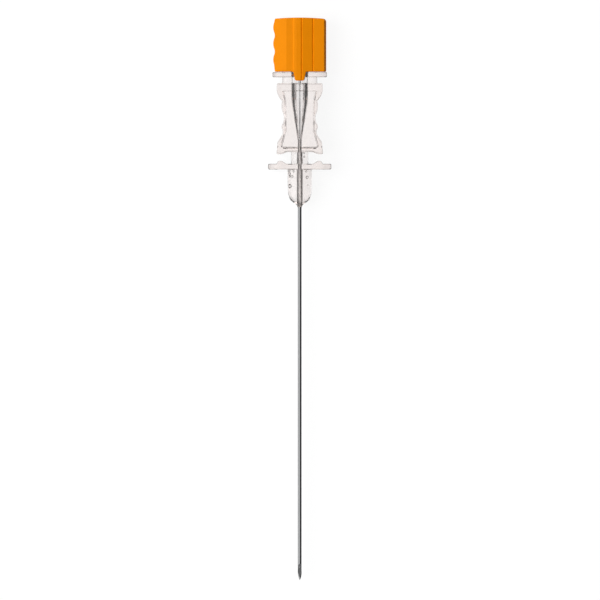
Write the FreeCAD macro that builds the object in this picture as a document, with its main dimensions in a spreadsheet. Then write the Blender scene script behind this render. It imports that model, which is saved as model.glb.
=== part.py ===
import FreeCAD, Part
import math
import os
import types

import Sketcher

# A spinal needle with its stylet, in millimetres and degrees. It lies on its back: the long axis
# runs along Y with the coloured cap toward +Y and the point toward -Y, and the side with the key
# slot faces +Z. Lengths along the axis are stations: they start at the mouth of the hub's socket
# and grow toward the point.

SIZES = (
    ("plate_depth", 8.0, "depth of the hub's flange, body, base and wings, front to back"),
    ("edge_round", 0.3, "rounding of the hub's moulded edges"),
    ("flange_width", 12.8, "width of the head flange across its two ears"),
    ("flange_thick", 1.25, "thickness of the head flange"),
    ("flange_corner", 2.2, "corner radius of the flange seen from the cap"),
    ("key_width", 4.0, "width of the key slot in the front of the flange"),
    ("key_depth", 1.0, "depth of the key slot below the flange's front"),
    ("neck_width", 8.25, "width of the neck under the flange"),
    ("neck_depth", 6.0, "depth of the neck under the flange"),
    ("neck_corner", 1.2, "corner radius of the neck"),
    ("body_top", 2.65, "station where the neck meets the finger grip"),
    ("head_height", 1.8, "straight top band of the finger grip"),
    ("shoulder_height", 2.35, "length of the shoulder between the top band and the waist"),
    ("waist_length", 8.15, "length of the scalloped waist"),
    ("flare_height", 2.3, "length of the flare between the waist and the base"),
    ("base_height", 2.16, "height of the base band at its two feet"),
    ("arch_height", 0.5, "rise of the base band's underside between its feet"),
    ("grip_width", 10.8, "width of the finger grip at its top band and base"),
    ("foot_spread", 0.05, "how far each foot of the base stands out past the grip's width"),
    ("waist_width", 8.34, "width of the waist where it starts and ends"),
    ("scallop_swell", 0.12, "how far a scallop's crest stands out of the waist line"),
    ("scallop_dip", 0.45, "how far the deep scallop's hollow lies inside the waist line"),
    ("scallop_step", 0.18, "how far the shallow hollow lies inside the waist line"),
    ("window_depth", 1.0, "depth of the viewing window's flat below the grip's face"),
    ("window_rim", 0.8, "rim left beside the window at the waist"),
    ("window_rim_top", 1.5, "rim left beside the window at the top band"),
    ("window_rim_base", 1.25, "rim left beside the window at the base"),
    ("window_sill", 0.5, "depth of the window below the flare, into the base band"),
    ("ledge_start", 0.3, "plain band above the first ledge of the top band"),
    ("ledge_height", 0.75, "height of each ledge that steps down to the window"),
    ("ledge_depth", 0.3, "depth that each ledge adds"),
    ("window_corner", 0.45, "corner radius of the window"),
    ("window_draft", 15.0, "draft of the window's walls"),
    ("stem_diameter", 4.05, "diameter of the stem between the base and the wings"),
    ("stem_length", 2.24, "clear length of the stem between the feet and the wings"),
    ("wing_width", 14.9, "width across the two finger wings"),
    ("wing_thick", 1.35, "thickness of the finger wings"),
    ("wing_corner", 2.4, "corner radius of the wings seen along the axis"),
    ("hump_height", 0.7, "height of the finger stop on each wing"),
    ("hump_inset", 0.1, "how far the finger stop's steep back lies inside the foot above it"),
    ("hump_rise", 1.6, "width of the finger stop's slope, from its inner foot to its crest"),
    ("hump_top", 0.85, "width of the finger stop from its crest to its steep back"),
    ("nose_diameter", 5.85, "diameter of the nose under the wings"),
    ("nose_waist", 5.6, "diameter of the nose where its ogive starts"),
    ("nose_straight", 4.9, "length of the nose's drafted barrel"),
    ("nose_ogive", 2.4, "length of the nose's ogive"),
    ("nose_shoulder", 4.3, "diameter where the ogive turns into the end cone"),
    ("nose_cone", 0.8, "length of the nose's end cone"),
    ("nose_rim", 0.15, "flat of the nose's end left round the adhesive bead"),
    ("luer_mouth", 4.3, "diameter of the tapered socket at its mouth"),
    ("luer_taper", 0.06, "narrowing of the socket for each millimetre of its depth"),
    ("luer_depth", 7.5, "depth of the tapered socket"),
    ("funnel_length", 8.7, "length of the funnel that leads from the socket to the tube"),
    ("cannula_diameter", 0.9, "outer diameter of the needle tube, 20 gauge"),
    ("cannula_wall", 0.15, "wall of the needle tube"),
    ("cannula_fit", 0.01, "gap round the tube in the hub's bore"),
    ("exposed_length", 88.0, "length of needle past the nose, the size it is sold by"),
    ("well_room", 0.4, "width of the adhesive well round the tube"),
    ("well_length", 10.8, "depth of the adhesive well"),
    ("bead_lap", 0.15, "how far the adhesive bead laps over the nose's end round the well"),
    ("bead_height", 0.75, "height of the adhesive bead along the tube"),
    ("bead_edge", 0.1, "thickness of the adhesive bead's outer edge"),
    ("bead_feather", 0.08, "thickness of the adhesive bead where it ends on the tube"),
    ("bevel_angle", 12.0, "angle of the long bevel to the axis"),
    ("lancet_angle", 18.4, "angle of the two lancet facets to the axis"),
    ("lancet_turn", 30.0, "turn of each lancet facet about the axis, away from the bevel"),
    ("lancet_setback", 0.32, "length that the lancet facets take off the bevel's point"),
    ("wire_fit", 0.025, "gap round the stylet wire in the tube's bore"),
    ("wire_grip", 9.0, "length of the stylet wire held in the cap"),
    ("cap_gap", 0.05, "gap between the cap's underside and the flange"),
    ("cap_width", 12.5, "width of the cap across its finger bumps"),
    ("cap_height", 12.55, "height of the cap at its corners"),
    ("cap_crown", 0.25, "rise of the cap's crowned top"),
    ("cap_front_step", 0.1, "how far the cap's front crest lies behind the hub's front"),
    ("cap_back_step", 0.5, "how far the cap's back crest lies inside the hub's back"),
    ("cap_side", 2.5, "half depth of the cap's side faces"),
    ("bump_height", 0.36, "height of the three finger bumps on the cap's side"),
    ("bump_chord", 2.1, "length of a finger bump along the cap, half way up its height"),
    ("bump_start", 2.85, "height of the lowest finger bump's middle above the cap's underside"),
    ("bump_end", 2.1, "distance of the highest finger bump's middle below the cap's corner"),
    ("cap_corner", 0.8, "radius of the cap's smooth corner"),
    ("cap_corner_small", 0.25, "radius of the cap's other corners"),
    ("facet_edge", 3.15, "distance of the outer facet's crease from the axis"),
    ("facet_drop", 0.4, "how far that crease lies behind the crest"),
    ("rib_edge", 1.5, "distance of the middle rib's flank from the axis"),
    ("rib_step", 0.28, "height of the middle rib's flank"),
    ("groove_inner", 0.45, "distance of the inner relief groove from the axis"),
    ("groove_outer", 3.1, "distance of the outer relief groove from the axis"),
    ("groove_width", 0.36, "width of a relief groove"),
    ("groove_depth", 0.22, "depth of a relief groove"),
    ("tab_side_gap", 0.475, "gap on each side of the key tab's root in the key slot"),
    ("tab_narrowing", 0.325, "how far each side of the key tab draws in toward its end"),
    ("tab_length", 2.1, "length of the key tab past the cap's underside"),
    ("tab_round", 0.55, "rounding of the key tab's end"),
    ("tab_gap", 0.1, "gap between the key tab and the floor of the key slot"),
    ("plug_length", 1.1, "length of the centring plug in the mouth of the socket"),
    ("plug_gap", 0.06, "gap round the centring plug"),
)

OVERRUN = 0.5
TINY = 0.001
HALF_ARC = math.sin(math.radians(45.0))


class Measure:
    """A number together with the sheet formula that it comes from."""

    def __init__(self, value, formula):
        self.value = value
        self.formula = formula

    def joined(self, sign, other, value):
        return Measure(value, f"({self.formula} {sign} {measure(other).formula})")

    def __add__(self, other):
        return self.joined("+", other, self.value + measure(other).value)

    def __sub__(self, other):
        return self.joined("-", other, self.value - measure(other).value)

    def __mul__(self, other):
        return self.joined("*", other, self.value * measure(other).value)

    def __truediv__(self, other):
        return self.joined("/", other, self.value / measure(other).value)

    def __neg__(self):
        return Measure(-self.value, f"(-1 * {self.formula})")


def measure(item):
    if isinstance(item, Measure):
        return item
    return Measure(float(item), str(item))


def tangent(angle):
    return Measure(math.tan(math.radians(angle.value)), f"tan({angle.formula})")


def cosine(angle):
    return Measure(math.cos(math.radians(angle.value)), f"cos({angle.formula})")


def fill_sheet(document):
    """Writes the sizes into the document's sheet and returns them as measures by name."""
    sheet = document.addObject("Spreadsheet::Sheet", "Sizes")
    named = {}
    for row, (alias, value, meaning) in enumerate(SIZES, start=1):
        sheet.set(f"A{row}", alias)
        sheet.set(f"B{row}", str(value))
        sheet.setAlias(f"B{row}", alias)
        sheet.set(f"C{row}", meaning)
        named[alias] = Measure(value, f"Sizes.{alias}")
    document.recompute()
    return types.SimpleNamespace(**named)


def add_stations(size):
    """Adds the stations and radii that several pieces share, worked out from the sizes."""
    size.half_depth = size.plate_depth / 2
    size.head_end = size.body_top + size.head_height
    size.waist_start = size.head_end + size.shoulder_height
    size.waist_end = size.waist_start + size.waist_length
    size.flare_end = size.waist_end + size.flare_height
    size.foot_end = size.flare_end + size.base_height
    size.arch_end = size.foot_end - size.arch_height
    size.wing_top = size.foot_end + size.stem_length
    size.wing_end = size.wing_top + size.wing_thick
    size.nose_end = size.wing_end + size.nose_straight + size.nose_ogive + size.nose_cone
    size.bead_end = size.nose_end + size.bead_height
    size.funnel_end = size.luer_depth + size.funnel_length
    size.well_top = size.nose_end - size.well_length
    size.tip = size.bead_end + size.exposed_length
    size.key_floor = size.half_depth - size.key_depth
    size.window_floor = size.half_depth - size.window_depth
    size.foot_reach = size.grip_width / 2 + size.foot_spread
    size.hump_back = size.foot_reach - size.hump_inset
    size.hump_crest = size.hump_back - size.hump_top
    size.hump_foot = size.hump_crest - size.hump_rise
    size.cannula_radius = size.cannula_diameter / 2
    size.hole_radius = size.cannula_radius + size.cannula_fit
    size.bore_radius = size.cannula_radius - size.cannula_wall
    size.wire_radius = size.bore_radius - size.wire_fit
    size.well_radius = size.cannula_radius + size.well_room
    size.bead_radius = size.well_radius + size.bead_lap
    size.cap_front = size.half_depth - size.cap_front_step
    size.cap_back = size.half_depth - size.cap_back_step
    size.cap_top = size.cap_gap + size.cap_height + size.cap_crown
    size.mouth_y = (size.tip - size.cap_top) / 2


def new_body(document, name, size):
    """A body whose own origin is the middle of the socket's mouth, put at its place by the sheet."""
    body = document.addObject("PartDesign::Body", name)
    body.Label = name
    body.setExpression("Placement.Base.y", size.mouth_y.formula)
    body.setExpression("Placement.Base.z", size.half_depth.formula)
    return body


def origin_item(body, role):
    return next(item for item in body.Origin.OriginFeatures if item.Role == role)


def new_sketch(body, name, role, offset=None):
    """A sketch on one of the body's origin planes, moved along the plane's normal by offset."""
    sketch = body.newObject("Sketcher::SketchObject", name)
    sketch.AttachmentSupport = (origin_item(body, role), [""])
    sketch.MapMode = "FlatFace"
    if offset is not None:
        sketch.setExpression("AttachmentOffset.Base.z", offset.formula)
    return sketch


def hold_point(sketch, index, end, point):
    """Ties a point of the sketch to its two measures, counted from the sketch's origin."""
    for kind, axis, item in (("DistanceX", -2, point[0]), ("DistanceY", -1, point[1])):
        if item.value == 0.0:
            sketch.addConstraint(Sketcher.Constraint("PointOnObject", index, end, axis))
            continue
        row = sketch.addConstraint(Sketcher.Constraint(kind, -1, 1, index, end, item.value))
        sketch.setExpression(f"Constraints[{row}]", item.formula)


def as_vector(point):
    return FreeCAD.Vector(point[0].value, point[1].value, 0.0)


def draw_outline(sketch, start, steps):
    """Draws a closed outline from start. A step of two measures is a line to that point, and a
    step of four is an arc through its first point to its second."""
    here = [measure(item) for item in start]
    first = None
    previous = None
    for number, step in enumerate(steps):
        points = [measure(item) for item in step]
        target = points[-2:]
        if len(points) == 2:
            piece = Part.LineSegment(as_vector(here), as_vector(target))
        else:
            piece = Part.Arc(as_vector(here), as_vector(points[:2]), as_vector(target))
        index = sketch.addGeometry(piece, False)
        turned = (sketch.getPoint(index, 1) - as_vector(here)).Length > 1e-6
        head, tail = (2, 1) if turned else (1, 2)
        if first is None:
            first = (index, head)
            hold_point(sketch, index, head, here)
        else:
            sketch.addConstraint(Sketcher.Constraint("Coincident", *previous, index, head))
        if number == len(steps) - 1:
            sketch.addConstraint(Sketcher.Constraint("Coincident", index, tail, *first))
        else:
            hold_point(sketch, index, tail, target)
        if len(points) == 4:
            middle = sketch.addGeometry(Part.Point(as_vector(points[:2])), True)
            sketch.addConstraint(Sketcher.Constraint("PointOnObject", middle, 1, index))
            hold_point(sketch, middle, 1, points[:2])
        previous = (index, tail)
        here = target


def mirrored(half, start):
    """Completes a right half outline, from start on the Y axis back to the Y axis, with its left."""
    start = tuple(measure(item) for item in start)
    points = [start]
    for step in half:
        step = [measure(item) for item in step]
        points.append(tuple(step))
    left = []
    for number in range(len(points) - 1, 0, -1):
        step = points[number]
        target = points[number - 1][-2:]
        through = (-step[0], step[1]) if len(step) == 4 else ()
        end = target if number == 1 else (-target[0], target[1])
        left.append((*through, *end))
    return points[1:] + left


def draw_circle(sketch, radius):
    circle = Part.Circle(FreeCAD.Vector(0, 0, 0), FreeCAD.Vector(0, 0, 1), radius.value)
    index = sketch.addGeometry(circle, False)
    sketch.addConstraint(Sketcher.Constraint("Coincident", index, 3, -1, 1))
    row = sketch.addConstraint(Sketcher.Constraint("Radius", index, radius.value))
    sketch.setExpression(f"Constraints[{row}]", radius.formula)


def draw_rounded_rectangle(sketch, width, depth, corner):
    """A rectangle about the sketch's origin with four round corners."""
    across = width / 2
    along = depth / 2
    inset = corner * (1.0 - HALF_ARC)
    half = (
        (across - corner, along),
        (across - inset, along - inset, across, along - corner),
        (across, corner - along),
        (across - inset, inset - along, across - corner, -along),
        (0, -along),
    )
    draw_outline(sketch, (0, along), mirrored(half, (0, along)))


def grow(body, kind, name, sketch, **settings):
    """Adds a feature made from a sketch, and stops if it failed or left the volume as it was."""
    before = body.Shape.Volume if body.Tip else 0.0
    feature = body.newObject(kind, name)
    feature.Profile = sketch
    if kind in ("PartDesign::Revolution", "PartDesign::Groove"):
        feature.ReferenceAxis = (sketch, ["V_Axis"])
        feature.Angle = 360.0
    for setting, value in settings.items():
        if isinstance(value, Measure):
            feature.setExpression(setting, value.formula)
        else:
            setattr(feature, setting, value)
    body.Document.recompute()
    change = body.Shape.Volume - before
    adds = kind in ("PartDesign::Pad", "PartDesign::Revolution")
    if "Invalid" in feature.State or (change <= 0.0 if adds else change >= 0.0):
        raise RuntimeError(f"{body.Label}: {name} changed nothing ({feature.State}, {change})")
    return feature


def at_station(edge, station):
    """True if the whole edge lies across the axis at that station."""
    box = edge.BoundBox
    return box.YLength < TINY and abs(box.YMin + station.value) < TINY


def round_edges(body, name, radius, chosen):
    """Rounds those edges of the body, as it stands, that chosen accepts."""
    base = body.Tip
    edges = [f"Edge{number}" for number, edge in enumerate(base.Shape.Edges, 1) if chosen(edge)]
    if not edges:
        raise RuntimeError(f"{body.Label}: {name} found no edge")
    fillet = body.newObject("PartDesign::Fillet", name)
    fillet.Base = (base, edges)
    fillet.setExpression("Radius", radius.formula)
    body.Document.recompute()
    if "Invalid" in fillet.State:
        raise RuntimeError(f"{body.Label}: {name} failed on {len(edges)} edges")
    return fillet


def make_wings(body, size):
    """The finger wings: a plate with a stepped finger stop on the cap's side of each wing."""
    plate = new_sketch(body, "wing_plan", "XZ_Plane", size.wing_top - size.hump_height)
    draw_rounded_rectangle(plate, size.wing_width, size.plate_depth, size.wing_corner)
    grow(body, "PartDesign::Pad", "wing_plate", plate, Length=size.wing_thick + size.hump_height)
    round_edges(body, "wing_undersides", size.edge_round,
                lambda edge: at_station(edge, size.wing_end))

    top = -size.wing_top
    crest = top + size.hump_height
    above = crest + OVERRUN
    wing_tip = size.wing_width / 2
    outside = wing_tip + OVERRUN
    inset = size.edge_round * (1.0 - HALF_ARC)
    rise = size.hump_crest - size.hump_foot
    half = (
        (size.hump_foot, top),
        (size.hump_foot + rise * 0.45, top + size.hump_height * 0.72, size.hump_crest, crest),
        (size.hump_back - size.hump_height * 0.1, crest - size.hump_height * 0.25,
         size.hump_back, top),
        (wing_tip - size.edge_round, top),
        (wing_tip - inset, top - inset, wing_tip, top - size.edge_round),
        (outside, top - size.edge_round),
        (outside, above),
        (0, above),
    )
    relief = new_sketch(body, "finger_stop_profile", "XY_Plane")
    draw_outline(relief, (0, top), mirrored(half, (0, top)))
    grow(body, "PartDesign::Pocket", "finger_stops", relief, Type="ThroughAll", SideType="Symmetric")


def make_nose(body, size):
    """The stem and the bullet nose that holds the tube, turned about the axis."""
    stem = size.stem_diameter / 2
    stem_top = -size.flare_end
    inside_wing = -(size.wing_top + size.wing_thick / 2)
    barrel_end = -(size.wing_end + size.nose_straight)
    ogive_end = barrel_end - size.nose_ogive
    profile = new_sketch(body, "nose_profile", "XY_Plane")
    draw_outline(profile, (0, stem_top), (
        (stem, stem_top),
        (stem, inside_wing),
        (size.nose_diameter / 2, inside_wing),
        (size.nose_waist / 2, barrel_end),
        (size.nose_waist / 2 - (size.nose_waist - size.nose_shoulder) * 0.16,
         barrel_end - size.nose_ogive * 0.58, size.nose_shoulder / 2, ogive_end),
        (size.bead_radius + size.nose_rim, -size.nose_end),
        (0, -size.nose_end),
        (0, stem_top),
    ))
    grow(body, "PartDesign::Revolution", "stem_and_nose", profile)


def grip_outline(size):
    """The right half of the finger grip: top band, shoulder, two scallops, flare, arched base."""
    head = size.grip_width / 2
    foot = size.foot_reach
    waist = size.waist_width / 2
    inset = size.edge_round * (1.0 - HALF_ARC)

    def down(share):
        return -(size.waist_start + size.waist_length * share)

    swell = waist + size.scallop_swell
    arch = -size.arch_end
    return (
        (head - size.edge_round, -size.body_top),
        (head - inset, -size.body_top - inset, head, -size.body_top - size.edge_round),
        (head, -size.head_end),
        (waist + (head - waist) * 0.66, -(size.head_end + size.shoulder_height * 0.53),
         waist, -size.waist_start),
        (swell, down(0.15), waist - size.scallop_swell, down(0.33)),
        (waist - size.scallop_dip, down(0.52), waist - size.scallop_swell, down(0.66)),
        (swell, down(0.75), waist - size.scallop_swell / 2, down(0.83)),
        (waist - size.scallop_step, down(0.89), waist + size.scallop_swell / 2, down(1.0)),
        (head - (head - waist) * 0.35, -(size.waist_end + size.flare_height * 0.52)),
        (head - (head - waist) * 0.12, -(size.waist_end + size.flare_height * 0.76),
         head - size.scallop_swell, -size.flare_end),
        (foot, size.edge_round - size.foot_end),
        (foot - inset, inset - size.foot_end, foot - size.edge_round, -size.foot_end),
        (foot * 0.87, -size.foot_end),
        (foot * 0.76, -size.foot_end + size.arch_height * 0.18, foot * 0.66,
         -size.foot_end + size.arch_height * 0.55),
        (foot * 0.57, arch - size.arch_height * 0.1, foot * 0.48, arch),
        (0, arch),
    )


def make_grip(body, size):
    """The waisted finger grip, with a flat sunk window in its front and its back."""
    start = (0, -size.body_top)
    outline = new_sketch(body, "grip_outline", "XY_Plane")
    draw_outline(outline, start, mirrored(grip_outline(size), start))
    grow(body, "PartDesign::Pad", "grip", outline, Length=size.plate_depth, SideType="Symmetric")

    top = -size.head_end
    bottom = -(size.flare_end + size.window_sill)
    upper = size.grip_width / 2 - size.window_rim_top
    waist = size.waist_width / 2 - size.window_rim
    lower = size.grip_width / 2 - size.window_rim_base
    corner = size.window_corner
    inset = corner * (1.0 - HALF_ARC)
    half = (
        (upper, top),
        (waist, -size.waist_start),
        (waist - size.scallop_swell, -(size.waist_start + size.waist_length * 0.85)),
        (lower, bottom + corner * 2.0),
        (lower - inset * 0.5, bottom + inset, lower - corner, bottom),
        (0, bottom),
    )
    for side, name in ((1, "front"), (-1, "back")):
        floor = size.window_floor * side
        outline = new_sketch(body, f"{name}_window_outline", "XY_Plane", floor)
        draw_outline(outline, (0, top), mirrored(half, (0, top)))
        grow(body, "PartDesign::Pocket", f"{name}_window", outline, Reversed=side > 0,
             Length=size.half_depth - size.window_floor, TaperAngle=size.window_draft)
        for number in (1, 2):
            across = size.neck_width / 2
            start = -(size.body_top + size.ledge_start + size.ledge_height * (number - 1))
            floor = (size.half_depth - size.ledge_depth * number) * side
            ledge = new_sketch(body, f"{name}_ledge_outline_{number}", "XY_Plane", floor)
            draw_outline(ledge, (-across, start), (
                (across, start),
                (across, top),
                (-across, top),
                (-across, start),
            ))
            grow(body, "PartDesign::Pocket", f"{name}_ledge_{number}", ledge, Reversed=side > 0,
                 Length=size.ledge_depth * number)


def make_head(body, size):
    """The neck and the head flange with its key slot."""
    neck = new_sketch(body, "neck_plan", "XZ_Plane", size.flange_thick / 2)
    draw_rounded_rectangle(neck, size.neck_width, size.neck_depth, size.neck_corner)
    grow(body, "PartDesign::Pad", "neck", neck,
         Length=size.body_top + size.edge_round - size.flange_thick / 2)

    flange = new_sketch(body, "flange_plan", "XZ_Plane")
    draw_rounded_rectangle(flange, size.flange_width, size.plate_depth, size.flange_corner)
    grow(body, "PartDesign::Pad", "flange", flange, Length=size.flange_thick)

    def on_rim(edge):
        middle = edge.CenterOfMass
        beside_neck = abs(middle.x) > size.neck_width.value / 2 + TINY
        before_neck = abs(middle.z) > size.neck_depth.value / 2 + TINY
        at_end = at_station(edge, measure(0)) or at_station(edge, size.flange_thick)
        return at_end and (beside_neck or before_neck)

    round_edges(body, "flange_edges", size.edge_round, on_rim)

    slot = new_sketch(body, "key_slot_plan", "XZ_Plane", measure(-OVERRUN))
    across = size.key_width / 2
    outside = size.half_depth + OVERRUN
    draw_outline(slot, (-across, size.key_floor), (
        (across, size.key_floor),
        (across, outside),
        (-across, outside),
        (-across, size.key_floor),
    ))
    grow(body, "PartDesign::Pocket", "key_slot", slot, Reversed=True,
         Length=size.flange_thick + OVERRUN)


def make_passage(body, size):
    """The way through the hub: tapered socket, funnel, bore for the tube and adhesive well."""
    mouth = size.luer_mouth / 2
    throat = mouth - size.luer_taper * size.luer_depth / 2
    well = size.well_radius
    profile = new_sketch(body, "passage_profile", "XY_Plane")
    draw_outline(profile, (0, OVERRUN), (
        (mouth, OVERRUN),
        (mouth, 0),
        (throat, -size.luer_depth),
        (size.hole_radius, -size.funnel_end),
        (size.hole_radius, -size.well_top),
        (well, -size.well_top),
        (well, -(size.nose_end + OVERRUN)),
        (0, -(size.nose_end + OVERRUN)),
        (0, OVERRUN),
    ))
    grow(body, "PartDesign::Groove", "passage", profile)


def make_hub(document, size):
    body = new_body(document, "hub", size)
    make_wings(body, size)
    make_nose(body, size)
    make_grip(body, size)
    make_head(body, size)
    make_passage(body, size)
    return body


def grind_tip(body, size):
    """Grinds the point: one long bevel facing the front, then two lancet facets turned to each
    side, which meet in a ridge below the bore. The tube and the wire share the same planes."""
    radius = size.cannula_radius
    cuts = (
        ("bevel", measure(0), size.bevel_angle, size.tip + size.lancet_setback, radius),
        ("left_facet", -size.lancet_turn, size.lancet_angle, size.tip,
         radius * cosine(size.lancet_turn)),
        ("right_facet", size.lancet_turn, size.lancet_angle, size.tip,
         radius * cosine(size.lancet_turn)),
    )
    for name, turn, angle, point, depth in cuts:
        plane = new_sketch(body, f"{name}_profile", "YZ_Plane")
        plane.AttachmentOffset = FreeCAD.Placement(
            FreeCAD.Vector(0, 0, 0), FreeCAD.Rotation(FreeCAD.Vector(1, 0, 0), turn.value))
        plane.setExpression("AttachmentOffset.Rotation.Angle", turn.formula)
        low = -(depth + tangent(angle) * OVERRUN)
        high = radius + OVERRUN
        outer = -(point + OVERRUN)
        draw_outline(plane, (outer, low), (
            (-point + (depth + high) / tangent(angle), high),
            (outer, high),
            (outer, low),
        ))
        grow(body, "PartDesign::Pocket", name, plane, Type="ThroughAll", SideType="Symmetric")


def make_cannula(document, size):
    body = new_body(document, "cannula", size)
    ring = new_sketch(body, "tube_section", "XZ_Plane", size.funnel_end)
    draw_circle(ring, size.cannula_radius)
    draw_circle(ring, size.bore_radius)
    grow(body, "PartDesign::Pad", "tube", ring, Length=size.tip - size.funnel_end)
    grind_tip(body, size)
    return body


def make_stylet_wire(document, size):
    body = new_body(document, "stylet_wire", size)
    disc = new_sketch(body, "wire_section", "XZ_Plane", -size.wire_grip)
    draw_circle(disc, size.wire_radius)
    grow(body, "PartDesign::Pad", "wire", disc, Length=size.tip + size.wire_grip)
    grind_tip(body, size)
    return body


def make_adhesive(document, size):
    """The cured adhesive that fills the well round the tube and stands in a bead on the nose."""
    inner = size.cannula_radius
    well = size.well_radius
    bead = size.bead_radius
    feather = size.cannula_radius + size.bead_feather
    body = new_body(document, "adhesive_bond", size)
    profile = new_sketch(body, "adhesive_profile", "XY_Plane")
    draw_outline(profile, (inner, -size.well_top), (
        (well, -size.well_top),
        (well, -size.nose_end),
        (bead, -size.nose_end),
        (bead, -(size.nose_end + size.bead_edge)),
        ((bead + feather) / 2 - size.bead_edge,
         -(size.nose_end + size.bead_height * 0.5),
         feather, -size.bead_end),
        (inner, -size.bead_end),
        (inner, -size.well_top),
    ))
    grow(body, "PartDesign::Revolution", "adhesive", profile)
    return body


def cap_outline(size):
    """The cap's front outline, from its lower right corner round to its lower left."""
    side = size.cap_width / 2
    flat = side - size.bump_height
    low = size.cap_gap
    high = size.cap_gap + size.cap_height
    crown = high + size.cap_crown
    big = size.cap_corner
    big_inset = big * (1.0 - HALF_ARC)
    small = size.cap_corner_small
    small_inset = small * (1.0 - HALF_ARC)
    steps = [
        (side - small_inset, low + small_inset, side, low + small),
        (side, high - big),
        (side - big_inset, high - big_inset, side - big, high),
        (0, crown, small - flat, high),
        (small_inset - flat, high - small_inset, -flat, high - small),
    ]
    half = size.bump_chord / 2
    pitch = (size.cap_height - size.bump_start - size.bump_end) / 2
    slope = side - size.bump_height / 2
    for number in (2, 1, 0):
        middle = size.bump_start + pitch * number + low
        if number == 2:
            steps.append((-slope, middle + half))
        steps.append((-side, middle, -slope, middle - half))
        if number:
            below = middle - pitch
            steps.append((-flat, middle - pitch / 2, -slope, below + half))
    steps.append((-flat, low + small))
    steps.append((small_inset - flat, low + small_inset, small - flat, low))
    steps.append((side - small, low))
    return (side - small, low), steps


def relief_outline(size, crest, sign):
    """One face of the cap seen along the axis, with the waste in front of it: an outer facet,
    a middle rib and two narrow grooves. The back face is the front one turned half round."""
    side = size.cap_width / 2
    half_groove = size.groove_width / 2
    waste = crest + OVERRUN

    def at(across, height):
        return (across * sign, height * sign)

    def groove(middle, height):
        return (
            at(middle - half_groove, height),
            at(middle, height - size.groove_depth),
            at(middle + half_groove, height),
        )

    rib_foot = crest - size.rib_step
    shoulder = crest - size.facet_drop
    start = at(-(side + OVERRUN), size.cap_side)
    steps = [
        at(-side, size.cap_side),
        at(-size.facet_edge, shoulder),
        at(-size.rib_edge, rib_foot),
        at(-size.rib_edge + size.rib_step / 2, crest - size.rib_step / 4),
        at(-size.rib_edge / 2, crest),
    ]
    steps += groove(size.groove_inner, crest)
    steps += groove(size.groove_outer, rib_foot)
    steps += [
        at(side - size.cap_corner, shoulder),
        at(side, size.cap_side),
        at(side + OVERRUN, size.cap_side),
        at(side + OVERRUN, waste),
        at(-(side + OVERRUN), waste),
        start,
    ]
    return start, steps


def make_cap(document, size):
    """The stylet's cap: a finger grip with bumps on one side, a key tab and a centring plug."""
    body = new_body(document, "stylet_cap", size)
    outline = new_sketch(body, "cap_outline", "XY_Plane", -(size.cap_back + OVERRUN))
    draw_outline(outline, *cap_outline(size))
    grow(body, "PartDesign::Pad", "cap", outline,
         Length=size.cap_back + size.cap_front + OVERRUN * 2)

    root = size.key_width / 2 - size.tab_side_gap
    end = root - size.tab_narrowing
    low = size.cap_gap - size.tab_length
    corner = size.tab_round
    inset = corner * (1.0 - HALF_ARC)
    half = (
        (root, size.cap_gap + OVERRUN),
        (root, size.cap_gap),
        (end, low + corner),
        (end - inset, low + inset, end - corner, low),
        (0, low),
    )
    start = (0, size.cap_gap + OVERRUN)
    tab_back = size.key_floor + size.tab_gap
    tab = new_sketch(body, "tab_outline", "XY_Plane", tab_back)
    draw_outline(tab, start, mirrored(half, start))
    grow(body, "PartDesign::Pad", "key_tab", tab, Length=size.cap_front - tab_back)

    for name, crest, sign in (("front_relief", size.cap_front, 1), ("back_relief", size.cap_back, -1)):
        relief = new_sketch(body, f"{name}_outline", "XZ_Plane")
        draw_outline(relief, *relief_outline(size, crest, sign))
        grow(body, "PartDesign::Pocket", name, relief, Type="ThroughAll", SideType="Symmetric")

    plug = size.luer_mouth / 2 - size.plug_gap
    tip = plug - size.luer_taper * size.plug_length / 2
    profile = new_sketch(body, "plug_profile", "XY_Plane")
    draw_outline(profile, (0, size.cap_gap + OVERRUN), (
        (plug, size.cap_gap + OVERRUN),
        (plug, 0),
        (tip, -size.plug_length),
        (0, -size.plug_length),
        (0, size.cap_gap + OVERRUN),
    ))
    grow(body, "PartDesign::Revolution", "centring_plug", profile)

    socket = new_sketch(body, "wire_socket_section", "XZ_Plane", size.plug_length + OVERRUN)
    draw_circle(socket, size.wire_radius)
    grow(body, "PartDesign::Pocket", "wire_socket", socket,
         Length=size.plug_length + size.wire_grip + OVERRUN)
    return body


def check_document(document, bodies):
    """Stops with a plain message if anything in the document failed or a piece has no solid."""
    for item in document.Objects:
        if "Invalid" in item.State or "Error" in item.State:
            raise RuntimeError(f"{item.Name} is {item.State}")
    for body in bodies:
        shape = body.Shape
        if shape.isNull() or not shape.isValid() or len(shape.Solids) != 1:
            raise RuntimeError(f"{body.Label} is not one valid solid")


def main():
    document = FreeCAD.newDocument("spinal_needle")
    size = fill_sheet(document)
    add_stations(size)
    bodies = [
        make_hub(document, size),
        make_cannula(document, size),
        make_adhesive(document, size),
        make_stylet_wire(document, size),
        make_cap(document, size),
    ]
    document.recompute()
    check_document(document, bodies)
    os.makedirs("parts", exist_ok=True)
    for body in bodies:
        body.Shape.exportStep(f"parts/{body.Label}.step")


main()
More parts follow.
